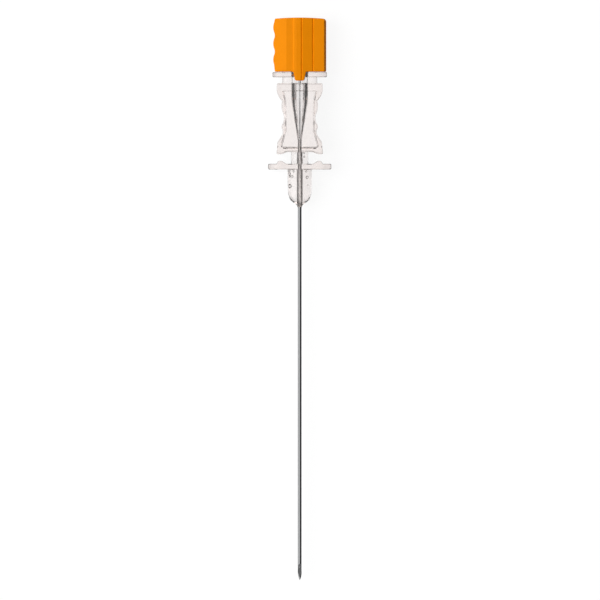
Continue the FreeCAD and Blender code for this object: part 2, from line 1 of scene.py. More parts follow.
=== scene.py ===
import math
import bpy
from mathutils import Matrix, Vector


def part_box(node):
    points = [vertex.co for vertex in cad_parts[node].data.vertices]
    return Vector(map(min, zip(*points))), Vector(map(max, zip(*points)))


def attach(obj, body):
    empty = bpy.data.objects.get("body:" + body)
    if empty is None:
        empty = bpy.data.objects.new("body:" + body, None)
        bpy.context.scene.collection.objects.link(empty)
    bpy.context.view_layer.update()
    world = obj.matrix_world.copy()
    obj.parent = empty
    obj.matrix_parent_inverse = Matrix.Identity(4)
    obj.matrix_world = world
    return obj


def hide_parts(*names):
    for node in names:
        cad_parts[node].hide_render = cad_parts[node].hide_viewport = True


bl_info = {
    "name": "Spinal needle",
    "version": (1, 0, 0),
    "blender": (4, 5, 0),
    "location": "3D View > Sidebar > Needle",
    "description": "Builds a spinal needle and its stylet round the packed model",
    "category": "Add Mesh",
}

import types

import bmesh
import bpy
import numpy as np
from mathutils import Vector

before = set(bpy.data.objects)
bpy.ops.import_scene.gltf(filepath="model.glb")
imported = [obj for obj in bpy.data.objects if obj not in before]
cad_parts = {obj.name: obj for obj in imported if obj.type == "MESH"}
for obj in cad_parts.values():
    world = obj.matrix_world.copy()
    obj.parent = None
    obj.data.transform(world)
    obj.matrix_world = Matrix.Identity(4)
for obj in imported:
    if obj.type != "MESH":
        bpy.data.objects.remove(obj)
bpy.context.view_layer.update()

# Shapes are worked out in millimetres in the needle's own frame: y = 0 is the mouth of the hub's
# socket, y falls toward the point, x runs across the wings and z rises toward the front. A station
# is a distance below the socket's mouth. The frame gives where that mouth is.
MM = 0.001
HUB_LOW, HUB_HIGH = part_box("hub")
TUBE_LOW, TUBE_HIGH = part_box("cannula")
BOND_LOW, BOND_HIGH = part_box("adhesive_bond")
ORIGIN = np.array((0.0, HUB_HIGH.y, (HUB_LOW.z + HUB_HIGH.z) / 2))
PLATE_DEPTH = (HUB_HIGH.z - HUB_LOW.z) / MM

# Spacing of the points along an outline's arcs, and the longest straight run of a turned one.
SPACING = 0.03
LONG_RUN = 2.0
# Points nearer than the first are one, and faces thinner than the second go, both in metres.
MERGE = 1e-7
SLIVER = 3e-7
# Quads across and up the faces of each slab.
GRIP_QUADS = (60, 170)
NECK_QUADS = (24, 32)
FLANGE_QUADS = (50, 72)
WING_QUADS = (40, 200)
WINDOW_QUADS = (40, 90)
CAP_QUADS = (240, 80)
# How far cutters that would share a face step aside from each other.
STEP_ASIDE = 0.02
# A 6 % taper takes 3 % of its length off the radius.
TAPER = 0.03


def length(name, millimetres, description):
    """A length property, in metres, from its size in millimetres."""
    return bpy.props.FloatProperty(name=name, description=description, default=millimetres * MM,
                                   min=0.0, unit="LENGTH", precision=5)


def colour(name, value, description):
    """A colour property from its sRGB hex value."""
    return bpy.props.FloatVectorProperty(name=name, description=description, size=3,
                                         default=linear(value)[:3], subtype="COLOR",
                                         min=0.0, max=1.0)


def linear(value):
    """Linear red, green, blue and alpha of an sRGB hex colour."""
    levels = np.array([int(value[i:i + 2], 16) for i in (1, 3, 5)]) / 255.0
    curve = np.where(levels <= 0.04045, levels / 12.92, ((levels + 0.055) / 1.055) ** 2.4)
    return (*curve.tolist(), 1.0)


class NeedleHubSizes(bpy.types.PropertyGroup):
    """Sizes of the clear hub."""
    edge_round: length("Edge rounding", 0.3, "Rounding of the hub's moulded edges")
    flange_width: length("Flange width", 12.8, "Width of the head flange across its two ears")
    flange_thick: length("Flange thickness", 1.25, "Thickness of the head flange")
    flange_corner: length("Flange corner", 2.2, "Corner radius of the flange")
    key_width: length("Key slot width", 4.0, "Width of the key slot in the flange")
    key_depth: length("Key slot depth", 1.0, "Depth of the key slot")
    neck_width: length("Neck width", 8.25, "Width of the neck under the flange")
    web_depth: length("Web depth", 4.2, "Depth of the neck's web beside the collar")
    collar_diameter: length("Collar diameter", 5.45, "Diameter of the round collar in the neck")
    neck_corner: length("Neck corner", 1.2, "Corner radius of the neck")
    body_top: length("Body top", 2.65, "Station where the neck meets the finger grip")
    head_height: length("Head height", 1.8, "Straight top band of the finger grip")
    shoulder_height: length("Shoulder height", 2.35, "Length of the shoulder over the waist")
    waist_length: length("Waist length", 8.15, "Length of the scalloped waist")
    flare_height: length("Flare height", 2.3, "Length of the flare between waist and base")
    base_height: length("Base height", 2.16, "Height of the base band at its feet")
    arch_height: length("Arch height", 0.5, "Rise of the base band between its feet")
    grip_width: length("Grip width", 10.8, "Width of the finger grip at its top and base")
    foot_spread: length("Foot spread", 0.05, "How far each foot stands out past the grip")
    waist_width: length("Waist width", 8.34, "Width of the waist where it starts and ends")
    scallop_swell: length("Scallop crest", 0.12, "Height of a scallop's crest")
    scallop_dip: length("Scallop hollow", 0.45, "Depth of the deep scallop's hollow")
    scallop_step: length("Shallow hollow", 0.18, "Depth of the shallow hollow")
    window_depth: length("Window depth", 1.0, "Depth of the window's flat below the face")
    window_rim: length("Window rim", 0.8, "Rim left beside the window at the waist")
    window_rim_top: length("Window rim, top", 1.5, "Rim left beside the window at its top")
    window_rim_base: length("Window rim, base", 1.25, "Rim left beside the window at its base")
    window_sill: length("Window sill", 0.5, "Depth of the windows below the flare")
    window_chamfer: length("Window chamfer", 0.13, "Chamfer round the back window's mouth")
    sill_chamfer: length("Sill chamfer", 0.42, "Chamfer along the back window's sill")
    window_corner: length("Window corner", 0.45, "Corner radius of the window")
    ledge_start: length("Ledge start", 0.32, "Plain band above the first ledge")
    ledge_height: length("Ledge height", 0.75, "Height of each ledge")
    ledge_depth: length("Ledge depth", 0.3, "Depth that each ledge adds")
    stem_diameter: length("Stem diameter", 4.05, "Diameter of the stem under the base")
    stem_length: length("Stem length", 2.24, "Clear length of the stem")
    wing_width: length("Wing width", 14.9, "Width across the two finger wings")
    wing_thick: length("Wing thickness", 1.35, "Thickness of the finger wings")
    wing_corner: length("Wing corner", 2.4, "Corner radius of the wings")
    hump_height: length("Finger stop height", 0.7, "Height of the stop on each wing")
    nose_diameter: length("Nose diameter", 5.85, "Diameter of the nose under the wings")
    nose_waist: length("Nose waist", 5.6, "Diameter of the nose where its ogive starts")
    nose_straight: length("Nose barrel", 4.9, "Length of the nose's barrel")
    nose_ogive: length("Nose ogive", 2.4, "Length of the nose's ogive")
    nose_shoulder: length("Nose shoulder", 4.3, "Diameter where the end cone starts")
    nose_cone: length("Nose cone", 0.8, "Length of the nose's end cone")
    luer_mouth: length("Socket mouth", 4.3, "Diameter of the tapered socket at its mouth")
    luer_depth: length("Socket depth", 7.5, "Depth of the tapered socket")
    funnel_length: length("Funnel length", 8.7, "Length of the funnel under the socket")


class NeedleSteelSizes(bpy.types.PropertyGroup):
    """Sizes of the tube, its point, the wire and the adhesive."""
    cannula_diameter: length("Tube diameter", 0.9, "Outer diameter of the needle tube")
    cannula_wall: length("Tube wall", 0.15, "Wall of the needle tube")
    wire_fit: length("Wire fit", 0.025, "Gap round the stylet wire in the tube")
    wire_grip: length("Wire grip", 9.0, "Length of the wire held in the cap")
    lancet_setback: length("Lancet setback", 0.32, "Length the lancet facets take off")
    well_radius: length("Well radius", 0.85, "Radius of the adhesive well in the nose")
    well_length: length("Well length", 10.8, "Depth of the adhesive well")
    bead_radius: length("Bead radius", 1.0, "Radius of the adhesive bead on the nose")
    bead_height: length("Bead height", 0.75, "Height of the adhesive bead")
    bevel_angle: bpy.props.FloatProperty(
        name="Bevel angle", description="Angle of the long bevel to the axis",
        default=math.radians(12.0), subtype="ANGLE")
    lancet_angle: bpy.props.FloatProperty(
        name="Lancet angle", description="Angle of the lancet facets to the axis",
        default=math.radians(18.4), subtype="ANGLE")
    lancet_turn: bpy.props.FloatProperty(
        name="Lancet turn", description="Turn of each lancet facet about the axis",
        default=math.radians(30.0), subtype="ANGLE")


class NeedleCapSizes(bpy.types.PropertyGroup):
    """Sizes of the stylet's cap."""
    cap_gap: length("Cap gap", 0.05, "Gap between the cap and the flange")
    cap_width: length("Cap width", 12.5, "Width of the cap across its finger bumps")
    cap_height: length("Cap height", 12.55, "Height of the cap at its corners")
    cap_crown: length("Cap crown", 0.25, "Rise of the cap's crowned top")
    cap_front: length("Front crest", 3.9, "Distance of the front crest from the axis")
    cap_back: length("Back crest", 3.5, "Distance of the back crest from the axis")
    cap_side: length("Side depth", 2.5, "Half depth of the cap's side faces")
    cap_round: length("Edge rounding", 0.2, "Rounding of the cap's front and back edges")
    bump_height: length("Bump height", 0.36, "Height of the finger bumps on the side")
    bump_start: length("Lowest bump", 2.85, "Height of the lowest finger bump's middle")
    bump_end: length("Highest bump", 2.1, "Distance of the highest bump below the corner")
    cap_corner: length("Smooth corner", 0.8, "Radius of the cap's smooth corner")
    corner_small: length("Other corners", 0.25, "Radius of the cap's other corners")
    facet_edge: length("Facet crease", 3.15, "Distance of the facet's crease from the axis")
    facet_drop: length("Facet drop", 0.4, "How far that crease lies behind the crest")
    rib_edge: length("Rib edge", 1.5, "Distance of the rib's flank from the axis")
    rib_step: length("Rib step", 0.28, "Height of the rib's flank")
    groove_inner: length("Inner groove", 0.45, "Distance of the inner groove from the axis")
    groove_outer: length("Outer groove", 3.1, "Distance of the outer groove from the axis")
    groove_width: length("Groove width", 0.36, "Width of a relief groove")
    groove_depth: length("Groove depth", 0.22, "Depth of a relief groove")
    tab_root: length("Tab root", 1.525, "Half width of the key tab at its root")
    tab_end: length("Tab end", 1.2, "Half width of the key tab at its end")
    tab_length: length("Tab length", 2.1, "Length of the key tab")
    tab_round: length("Tab rounding", 0.55, "Rounding of the key tab's end")
    tab_back: length("Tab back", 3.1, "Distance of the key tab's back from the axis")
    plug_length: length("Plug length", 1.1, "Length of the plug in the socket's mouth")
    plug_gap: length("Plug gap", 0.06, "Gap round the plug")


class NeedleFinishes(bpy.types.PropertyGroup):
    """Colours and finishes of the needle's materials."""
    hub_colour: colour("Hub", "#CFA58D", "Colour that the hub's plastic lets through")
    cap_colour: colour("Cap", "#ED8A00", "Colour of the stylet's cap")
    steel_colour: colour("Steel", "#B4B5B6", "Colour of the drawn steel")
    wire_colour: colour("Wire", "#DADBDC", "Colour of the polished stylet wire")
    blasted_colour: colour("Blasted steel", "#F2EEEC", "Colour of the tube's blasted end")
    adhesive_colour: colour("Adhesive", "#F1E9E2", "Tint of the cured adhesive")


def millimetres(group):
    """Every length of a property group in millimetres, and its angles as they are."""
    values = {}
    for name in group.__annotations__:
        scale = 1.0 if name.endswith(("angle", "turn")) else MM
        values[name] = round(getattr(group, name) / scale, 6)
    return types.SimpleNamespace(**values)


def station(corner):
    """How far a corner of a node's box lies below the socket's mouth, in millimetres."""
    return (ORIGIN[1] - corner.y) / MM


def trace(start, steps, spacing=SPACING, run=None):
    """Points along an outline. A step of two numbers is a line to that point, divided evenly by
    the run or else the spacing. A step of four is an arc through its first point to its second:
    the circle's middle plus its radius times the cosine and sine of an even run of angles."""
    here = np.array(start, float)
    runs = []
    for step in steps:
        target = np.array(step[-2:], float)
        if len(step) == 2:
            count = max(1, int(np.ceil(np.linalg.norm(target - here) / (run or spacing))))
            runs.append(here + (target - here) * np.linspace(0, 1, count, endpoint=False)[:, None])
        else:
            through = np.array(step[:2], float)
            sides = 2 * np.array((through - here, target - here))
            squares = np.array((through @ through - here @ here, target @ target - here @ here))
            middle = np.linalg.solve(sides, squares)
            first, between, last = (math.atan2(p[1], p[0]) for p in
                                    (here - middle, through - middle, target - middle))
            turn = (last - first) % math.tau
            if (between - first) % math.tau > turn:
                turn -= math.tau
            radius = np.linalg.norm(here - middle)
            count = max(6, int(np.ceil(radius * abs(turn) / spacing)))
            angle = first + turn * np.linspace(0, 1, count, endpoint=False)
            runs.append(middle + radius * np.column_stack((np.cos(angle), np.sin(angle))))
        here = target
    return np.concatenate(runs)


def mirrored(half, start):
    """Completes a right half outline, from start on the middle line back to it, with its left."""
    points = [tuple(start), *[tuple(step) for step in half]]
    left = []
    for number in range(len(points) - 1, 0, -1):
        step = points[number]
        target = points[number - 1][-2:]
        through = (-step[0], step[1]) if len(step) == 4 else ()
        left.append((*through, -target[0], target[1]))
    return points[1:] + left


def softened(loop, reach):
    """A closed outline with its corners eased: each point becomes the mean of its neighbours
    within the reach."""
    count = max(1, int(reach / SPACING / 2))
    padded = np.concatenate((loop[-count:], loop, loop[:count]))
    sums = np.cumsum(np.vstack((np.zeros(2), padded)), axis=0)
    width = 2 * count + 1
    return (sums[width:] - sums[:-width]) / width


def anticlockwise(loop):
    """The outline, turned round if its signed area is negative."""
    x, y = loop.T
    area = np.sum(x * np.roll(y, -1) - np.roll(x, -1) * y)
    return loop if area > 0 else loop[::-1]


def four_sides(loop, corners, counts):
    """An anticlockwise outline as a ring of points, spread evenly along each of its four sides,
    which run between the points nearest to the four corners."""
    marks = [int(np.argmin(np.sum((loop - corner) ** 2, axis=1))) for corner in np.array(corners)]
    loop = np.roll(loop, -marks[0], axis=0)
    marks = [(mark - marks[0]) % len(loop) for mark in marks] + [len(loop)]
    closed = np.vstack((loop, loop[:1]))
    along = np.concatenate(([0.0], np.cumsum(np.linalg.norm(np.diff(closed, axis=0), axis=1))))
    places = np.concatenate([
        np.linspace(along[marks[side]], along[marks[side + 1]], counts[side % 2], endpoint=False)
        for side in range(4)])
    return np.column_stack([np.interp(places, along, closed[:, axis]) for axis in (0, 1)])


def outward(ring):
    """The outline's unit normals: each point's tangent, from its two neighbours, turned a quarter."""
    tangent = np.roll(ring, -1, axis=0) - np.roll(ring, 1, axis=0)
    tangent /= np.linalg.norm(tangent, axis=1)[:, None]
    return np.column_stack((tangent[:, 1], -tangent[:, 0]))


def patch(ring, counts):
    """The inside of a four-sided ring as a grid: the blend of its bottom and top sides, plus the
    blend of its left and right sides, less the blend of its corners."""
    across, up = counts
    bottom = ring[:across + 1]
    right = ring[across:across + up + 1]
    top = ring[across + up:2 * across + up + 1][::-1]
    left = np.vstack((ring[2 * across + up:], ring[:1]))[::-1]
    s = np.linspace(0, 1, across + 1)[:, None, None]
    t = np.linspace(0, 1, up + 1)[None, :, None]
    sides = (1 - t) * bottom[:, None] + t * top[:, None] + (1 - s) * left[None] + s * right[None]
    corners = ((1 - s) * (1 - t) * bottom[0] + s * (1 - t) * bottom[-1]
               + (1 - s) * t * top[0] + s * t * top[-1])
    return sides - corners


def grid_faces(rows, columns, start=0, closed=False):
    """Quads of a grid of points stored row by row, joined round in the second direction if closed."""
    row = np.arange(rows - 1)[:, None]
    column = np.arange(columns if closed else columns - 1)[None, :]
    after = (column + 1) % columns
    corners = (row * columns + column, row * columns + after,
               (row + 1) * columns + after, (row + 1) * columns + column)
    return np.stack([corner.reshape(-1) for corner in corners], axis=1) + start


def rounded_rows(radius, steps=5, low=True, high=True):
    """Rows of a wall: how far each lies inside the outline, whether it belongs to the low or the
    high face, and how far it is lifted off that face. A quarter turn of angle a gives an inset of
    radius * (1 - cos a) and a lift of radius * (1 - sin a)."""
    angle = np.linspace(0, math.pi / 2, steps + 1)
    inset, lift = radius * (1 - np.cos(angle)), radius * (1 - np.sin(angle))
    square = np.zeros((1, 3))
    bottom = np.column_stack((inset, np.zeros_like(angle), lift))[::-1] if low else square
    top = np.column_stack((inset, np.ones_like(angle), -lift)) if high else square + (0, 1, 0)
    return np.vstack((bottom, top))


def patch_quads(counts, first, edge):
    """Quads of a patch whose border uses the wall's own points, numbered from edge round the
    ring, and whose inner points are numbered from first, row by row."""
    across, up = counts
    number = np.zeros((across + 1, up + 1), int)
    number[1:-1, 1:-1] = first + np.arange((across - 1) * (up - 1)).reshape(across - 1, up - 1)
    number[:, 0] = edge + np.arange(across + 1)
    number[-1, :] = edge + across + np.arange(up + 1)
    number[:, -1] = edge + across + up + np.arange(across, -1, -1)
    number[0, 1:] = edge + 2 * across + up + np.arange(up - 1, -1, -1)
    quads = np.stack((number[:-1, :-1], number[1:, :-1], number[1:, 1:], number[:-1, 1:]), axis=-1)
    return quads.reshape(-1, 4)


def slab(loop, corners, counts, rows, low, high, order=(0, 1, 2), soften=0.1):
    """Points and quads of a closed slab: the outline carried through the wall's rows, and a
    patch over each end. low and high give the ends' heights, as numbers or as functions of a
    point in the outline's plane, and order says which of outline x, outline y and height becomes
    x, y and z."""
    ring = four_sides(softened(anticlockwise(loop), soften), corners, counts)
    normals = outward(ring)
    low, high = (face if callable(face) else (lambda flat, face=face: flat[..., 0] * 0 + face)
                 for face in (low, high))
    flat = ring[None] - rows[:, None, :1] * normals[None]
    level = rows[:, None, 1]
    height = low(flat) * (1 - level) + high(flat) * level + rows[:, None, 2]
    points = [np.concatenate((flat, height[..., None]), axis=-1).reshape(-1, 3)]
    faces = [grid_faces(len(rows), len(ring), closed=True)]
    for row, face in ((0, low), (len(rows) - 1, high)):
        faces.append(patch_quads(counts, sum(map(len, points)), row * len(ring)))
        inside = patch(flat[row], counts)[1:-1, 1:-1]
        points.append(np.concatenate((inside, face(inside)[..., None]), axis=-1).reshape(-1, 3))
    return np.concatenate(points)[:, np.argsort(order)], np.concatenate(faces)


def turned(profile, count=144):
    """Points and quads of a profile of radius and y, turned about the y axis: x is radius times
    the sine of the angle and z is radius times its cosine."""
    angle = np.linspace(0, math.tau, count, endpoint=False)[None, :]
    radius, y = profile[:, :1], profile[:, 1:]
    points = np.stack((radius * np.sin(angle), y + 0 * angle, radius * np.cos(angle)), axis=-1)
    return points.reshape(-1, 3), grid_faces(len(profile), count, closed=True)


def block(low, high):
    """Points and quads of a box between two corners."""
    corners = np.array(np.meshgrid(*zip(low, high), indexing="ij")).reshape(3, -1).T
    quads = np.array(((0, 1, 3, 2), (4, 6, 7, 5), (0, 4, 5, 1), (2, 3, 7, 6), (0, 2, 6, 4),
                      (1, 5, 7, 3)))
    return corners, quads


def make_object(name, points, quads):
    """A closed mesh object from points in millimetres in the needle's frame. Its doubles are
    merged and its faces turned outward."""
    mesh = bpy.data.meshes.new(name)
    faces = [list(dict.fromkeys(quad)) for quad in quads.tolist()]
    mesh.from_pydata((points * MM + ORIGIN).tolist(), [], faces)
    work = bmesh.new()
    work.from_mesh(mesh)
    bmesh.ops.remove_doubles(work, verts=work.verts, dist=MERGE)
    bmesh.ops.recalc_face_normals(work, faces=work.faces)
    work.to_mesh(mesh)
    work.free()
    made = bpy.data.objects.new(name, mesh)
    bpy.context.scene.collection.objects.link(made)
    return made


def combine(base, others, operation):
    """Unites the base with the other closed solids, or cuts them from it, and removes them."""
    for other in others:
        modifier = base.modifiers.new(operation.title(), "BOOLEAN")
        modifier.solver = "MANIFOLD"
        modifier.operation = operation
        modifier.object = other
    bpy.context.view_layer.update()
    graph = bpy.context.evaluated_depsgraph_get()
    before = len(base.data.polygons)
    mesh = bpy.data.meshes.new_from_object(base.evaluated_get(graph))
    if len(mesh.polygons) < 8 or len(mesh.polygons) == before:
        raise RuntimeError(f"{base.name}: {operation.lower()} changed nothing")
    base.modifiers.clear()
    base.data = mesh
    for other in others:
        bpy.data.objects.remove(other)
    return base


def clean_cuts(piece):
    """Removes the slivers that the cuts leave, and divides faces of five sides or more into
    triangles."""
    work = bmesh.new()
    work.from_mesh(piece.data)
    bmesh.ops.dissolve_degenerate(work, dist=SLIVER, edges=work.edges)
    bmesh.ops.triangulate(work, faces=[face for face in work.faces if len(face.verts) > 4])
    if not all(edge.is_manifold for edge in work.edges):
        raise RuntimeError(f"{piece.name}: its surface isn't closed")
    work.to_mesh(piece.data)
    work.free()


def finish_piece(piece, body, nodes, materials, sharp=30.0):
    """Shades a piece smooth up to its sharp edges, gives it its materials and ties it to the
    frame."""
    mesh = piece.data
    mesh.name = piece.name
    mesh.materials.clear()
    for material in materials:
        mesh.materials.append(material)
    mesh.polygons.foreach_set("use_smooth", np.ones(len(mesh.polygons), bool))
    mesh.set_sharp_from_angle(angle=math.radians(sharp))
    weighted = piece.modifiers.new("Flat faces stay flat", "WEIGHTED_NORMAL")
    weighted.mode = "FACE_AREA"
    weighted.keep_sharp = True
    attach(piece, body)
    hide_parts(*nodes)
    return piece


def face_middles(mesh):
    """Each face's middle in millimetres in the needle's frame."""
    middles = np.empty(len(mesh.polygons) * 3)
    mesh.polygons.foreach_get("center", middles)
    return (middles.reshape(-1, 3) - ORIGIN) / MM


def add_node(tree, kind, inputs=None, feeds=None, **settings):
    """Adds a node with its settings. Each input is a value, or the output that feeds it, and
    feeds is the input that the node's first output goes to."""
    made = tree.nodes.new(kind)
    for name, value in settings.items():
        setattr(made, name, value)
    for name, value in (inputs or {}).items():
        if isinstance(value, bpy.types.NodeSocket):
            tree.links.new(value, made.inputs[name])
        else:
            made.inputs[name].default_value = value
    if feeds is not None:
        tree.links.new(made.outputs[0], feeds)
    return made


def new_material(name, **inputs):
    """A material with one Principled shader, and that shader's node tree."""
    material = bpy.data.materials.new(name)
    material.use_nodes = True
    tree = material.node_tree
    tree.nodes.clear()
    shader = add_node(tree, "ShaderNodeBsdfPrincipled",
                      {key.replace("_", " "): value for key, value in inputs.items()})
    add_node(tree, "ShaderNodeOutputMaterial", {"Surface": shader.outputs["BSDF"]})
    return material, tree, shader


def paint(tone, share=1.0):
    """A colour times a share, with full alpha, as a socket takes it."""
    return (*np.clip(np.array(tone) * share, 0.0, 1.0).tolist(), 1.0)


def object_pattern(tree, cell, detail=2.0, roughness=0.5, stretch=(1.0, 1.0, 1.0)):
    """Noise on the piece's own coordinates, with cells of a size in millimetres that are longer
    along an axis whose stretch is under 1."""
    place = add_node(tree, "ShaderNodeTexCoord")
    mapping = add_node(tree, "ShaderNodeMapping",
                       {"Vector": place.outputs["Object"], "Scale": stretch})
    noise = add_node(tree, "ShaderNodeTexNoise", {
        "Vector": mapping.outputs["Vector"], "Scale": 1.0 / (cell * MM), "Detail": detail,
        "Roughness": roughness})
    return noise.outputs["Fac"]


def raised_pattern(tree, shader, cell, strength, height, **noise):
    """A pattern that also tilts the shader's surface, as if it stood up by a height in
    millimetres."""
    pattern = object_pattern(tree, cell, **noise)
    add_node(tree, "ShaderNodeBump", {"Height": pattern, "Strength": strength,
                                      "Distance": height * MM}, shader.inputs["Normal"])
    return pattern


def clear_plastic(finish):
    """Polycarbonate, injection moulded in a polished mould: water clear, with a warm tint that
    deepens along the light's way, and slight waves along the melt's flow that bend what is seen
    through it."""
    material, tree, shader = new_material(
        "Moulded clear polycarbonate", Roughness=0.02, IOR=1.585, Transmission_Weight=1.0,
        Base_Color=linear("#FCFBFB"))
    add_node(tree, "ShaderNodeVolumeAbsorption",
             {"Color": paint(finish.hub_colour), "Density": 32.0},
             tree.nodes["Material Output"].inputs["Volume"])
    # The flow lines are about 0.9 mm apart across the melt's flow and five times as long.
    raised_pattern(tree, shader, 0.9, 0.12, 0.08, detail=1.0, roughness=0.4,
                   stretch=(1.0, 0.2, 1.0))
    return material


def wetted_wall():
    """The plastic's wall where cured adhesive touches it: the two bend light alike, so the
    wall can't be seen."""
    return new_material("Polycarbonate wetted by adhesive", Roughness=0.0, IOR=1.0,
                        Transmission_Weight=1.0, Base_Color=linear("#FFFFFF"))[0]


def drawn_steel(finish):
    """Stainless steel tube, cold drawn and polished along its length: grey, with a soft streak
    of light along it and faint draw lines."""
    material, tree, shader = new_material("Drawn stainless steel", Metallic=1.0, Roughness=0.3)
    # The draw lines are 0.02 mm apart in the tube and drawn at 0.06 mm, so that they show.
    lines = raised_pattern(tree, shader, 0.06, 0.15, 0.01, stretch=(1.0, 0.02, 1.0))
    add_node(tree, "ShaderNodeMixRGB", {
        "Fac": lines, "Color1": paint(finish.steel_colour, 0.86),
        "Color2": paint(finish.steel_colour)}, shader.inputs["Base Color"])
    return material


def polished_steel(finish):
    """Stainless steel wire, drawn and then electropolished: brighter and smoother than the tube,
    with the last trace of its draw lines."""
    material, tree, shader = new_material(
        "Electropolished stainless wire", Metallic=1.0, Roughness=0.2,
        Base_Color=paint(finish.wire_colour))
    raised_pattern(tree, shader, 0.06, 0.06, 0.01, detail=1.0, stretch=(1.0, 0.02, 1.0))
    return material


def blasted_steel(finish):
    """Stainless steel blasted with grit where the adhesive holds the tube: pale, matt and even,
    with a fine pitted grain."""
    material, tree, shader = new_material(
        "Grit blasted stainless steel", Metallic=1.0, Roughness=0.5)
    # The grit is about 0.05 mm.
    pits = raised_pattern(tree, shader, 0.05, 0.4, 0.01, detail=3.0, roughness=0.6)
    add_node(tree, "ShaderNodeMixRGB", {
        "Fac": pits, "Color1": paint(finish.blasted_colour, 0.85),
        "Color2": paint(finish.blasted_colour)}, shader.inputs["Base Color"])
    return material


def ground_steel(finish):
    """The tube's and wire's steel where a wheel has ground the point: flat bright facets with
    fine scratches across them, 0.03 mm apart."""
    material, tree, shader = new_material(
        "Ground stainless steel", Metallic=1.0, Roughness=0.22,
        Base_Color=paint(finish.steel_colour))
    raised_pattern(tree, shader, 0.03, 0.2, 0.006, roughness=0.6, stretch=(0.08, 1.0, 1.0))
    return material


def orange_plastic(finish):
    """Polypropylene, injection moulded in a spark-eroded mould: opaque orange with a satin
    sheen and a fine even grain."""
    material, tree, shader = new_material(
        "Moulded orange polypropylene", Roughness=0.46, IOR=1.49, Specular_IOR_Level=0.08)
    # The colour's slow variation is about 3 mm long and the mould's grain about 0.12 mm.
    add_node(tree, "ShaderNodeMixRGB", {
        "Fac": object_pattern(tree, 3.0), "Color1": paint(finish.cap_colour, 0.94),
        "Color2": paint(finish.cap_colour, 1.04)}, shader.inputs["Base Color"])
    raised_pattern(tree, shader, 0.12, 0.25, 0.02, detail=3.0, roughness=0.6)
    return material


def cured_adhesive(finish):
    """Clear epoxy, cured by light: glassy, with a slight tint and a wavy skin, its waves about
    0.4 mm long."""
    material, tree, shader = new_material(
        "Cured clear epoxy", Roughness=0.05, IOR=1.53, Transmission_Weight=1.0,
        Base_Color=paint(finish.adhesive_colour))
    raised_pattern(tree, shader, 0.4, 0.3, 0.04)
    return material


def arc_inset(radius):
    """How far the middle of a corner's arc stands inside the corner, along each side."""
    return radius * (1.0 - math.sin(math.radians(45.0)))


def rectangle(width, height, corner):
    """The right half of a rectangle with rounded corners, from its top middle to its bottom."""
    x, y = width / 2, height / 2
    inset = arc_inset(corner)
    return (0, y), (
        (x - corner, y),
        (x - inset, y - inset, x, y - corner),
        (x, corner - y),
        (x - inset, inset - y, x - corner, -y),
        (0, -y),
    )


def cross_slab(depth, width, corner, counts, rows, low, high):
    """A rounded rectangle across the needle, carried along it from y = low to y = high. Its
    outline's x is the needle's z, and its outline's y is the needle's x."""
    start, half = rectangle(depth, width, corner)
    x, y = depth / 2 - arc_inset(corner), width / 2 - arc_inset(corner)
    return slab(trace(start, mirrored(half, start)), ((-x, -y), (x, -y), (x, y), (-x, y)),
                counts, rows, low, high, order=(2, 0, 1))


def lathe(start, steps, spacing, count=144):
    """An outline from the axis and back to it, turned about it."""
    profile = trace(start, steps, spacing, LONG_RUN)
    return turned(np.vstack((profile, steps[-1][-2:])), count)


def hub_stations(size):
    """Where each part of the hub ends, as a station: the sum of the heights above it."""
    heights = {"head_end": size.body_top + size.head_height, "waist_start": size.shoulder_height,
               "waist_end": size.waist_length, "flare_end": size.flare_height,
               "foot_end": size.base_height, "wing_top": size.stem_length,
               "wing_end": size.wing_thick, "barrel_end": size.nose_straight,
               "ogive_end": size.nose_ogive, "nose_end": size.nose_cone}
    return types.SimpleNamespace(**dict(zip(heights, np.cumsum(list(heights.values())).tolist())))


# Places down the grip's waist, as shares of its length: the crest under the shoulder, the deep
# hollow, the crest between the hollows, and the shallow hollow, which ends with the waist.
HIGH_CREST = 0.15
DEEP_START, DEEP_MIDDLE, DEEP_END = 0.33, 0.52, 0.66
LOW_CREST = 0.75
SHALLOW_START, SHALLOW_MIDDLE = 0.83, 0.89
# A point that the shoulder's arc passes, and two of the flare, as shares of the step in width
# that is left there and of the height passed.
SHOULDER_BOW = (0.66, 0.53)
FLARE_START, FLARE_BOW = (0.35, 0.52), (0.12, 0.76)
# The base's arch from the foot inward, as shares of the foot's reach and of the arch's height.
ARCH = ((0.87, 0.0), (0.76, 0.18), (0.66, 0.55), (0.57, 0.9), (0.48, 1.0))


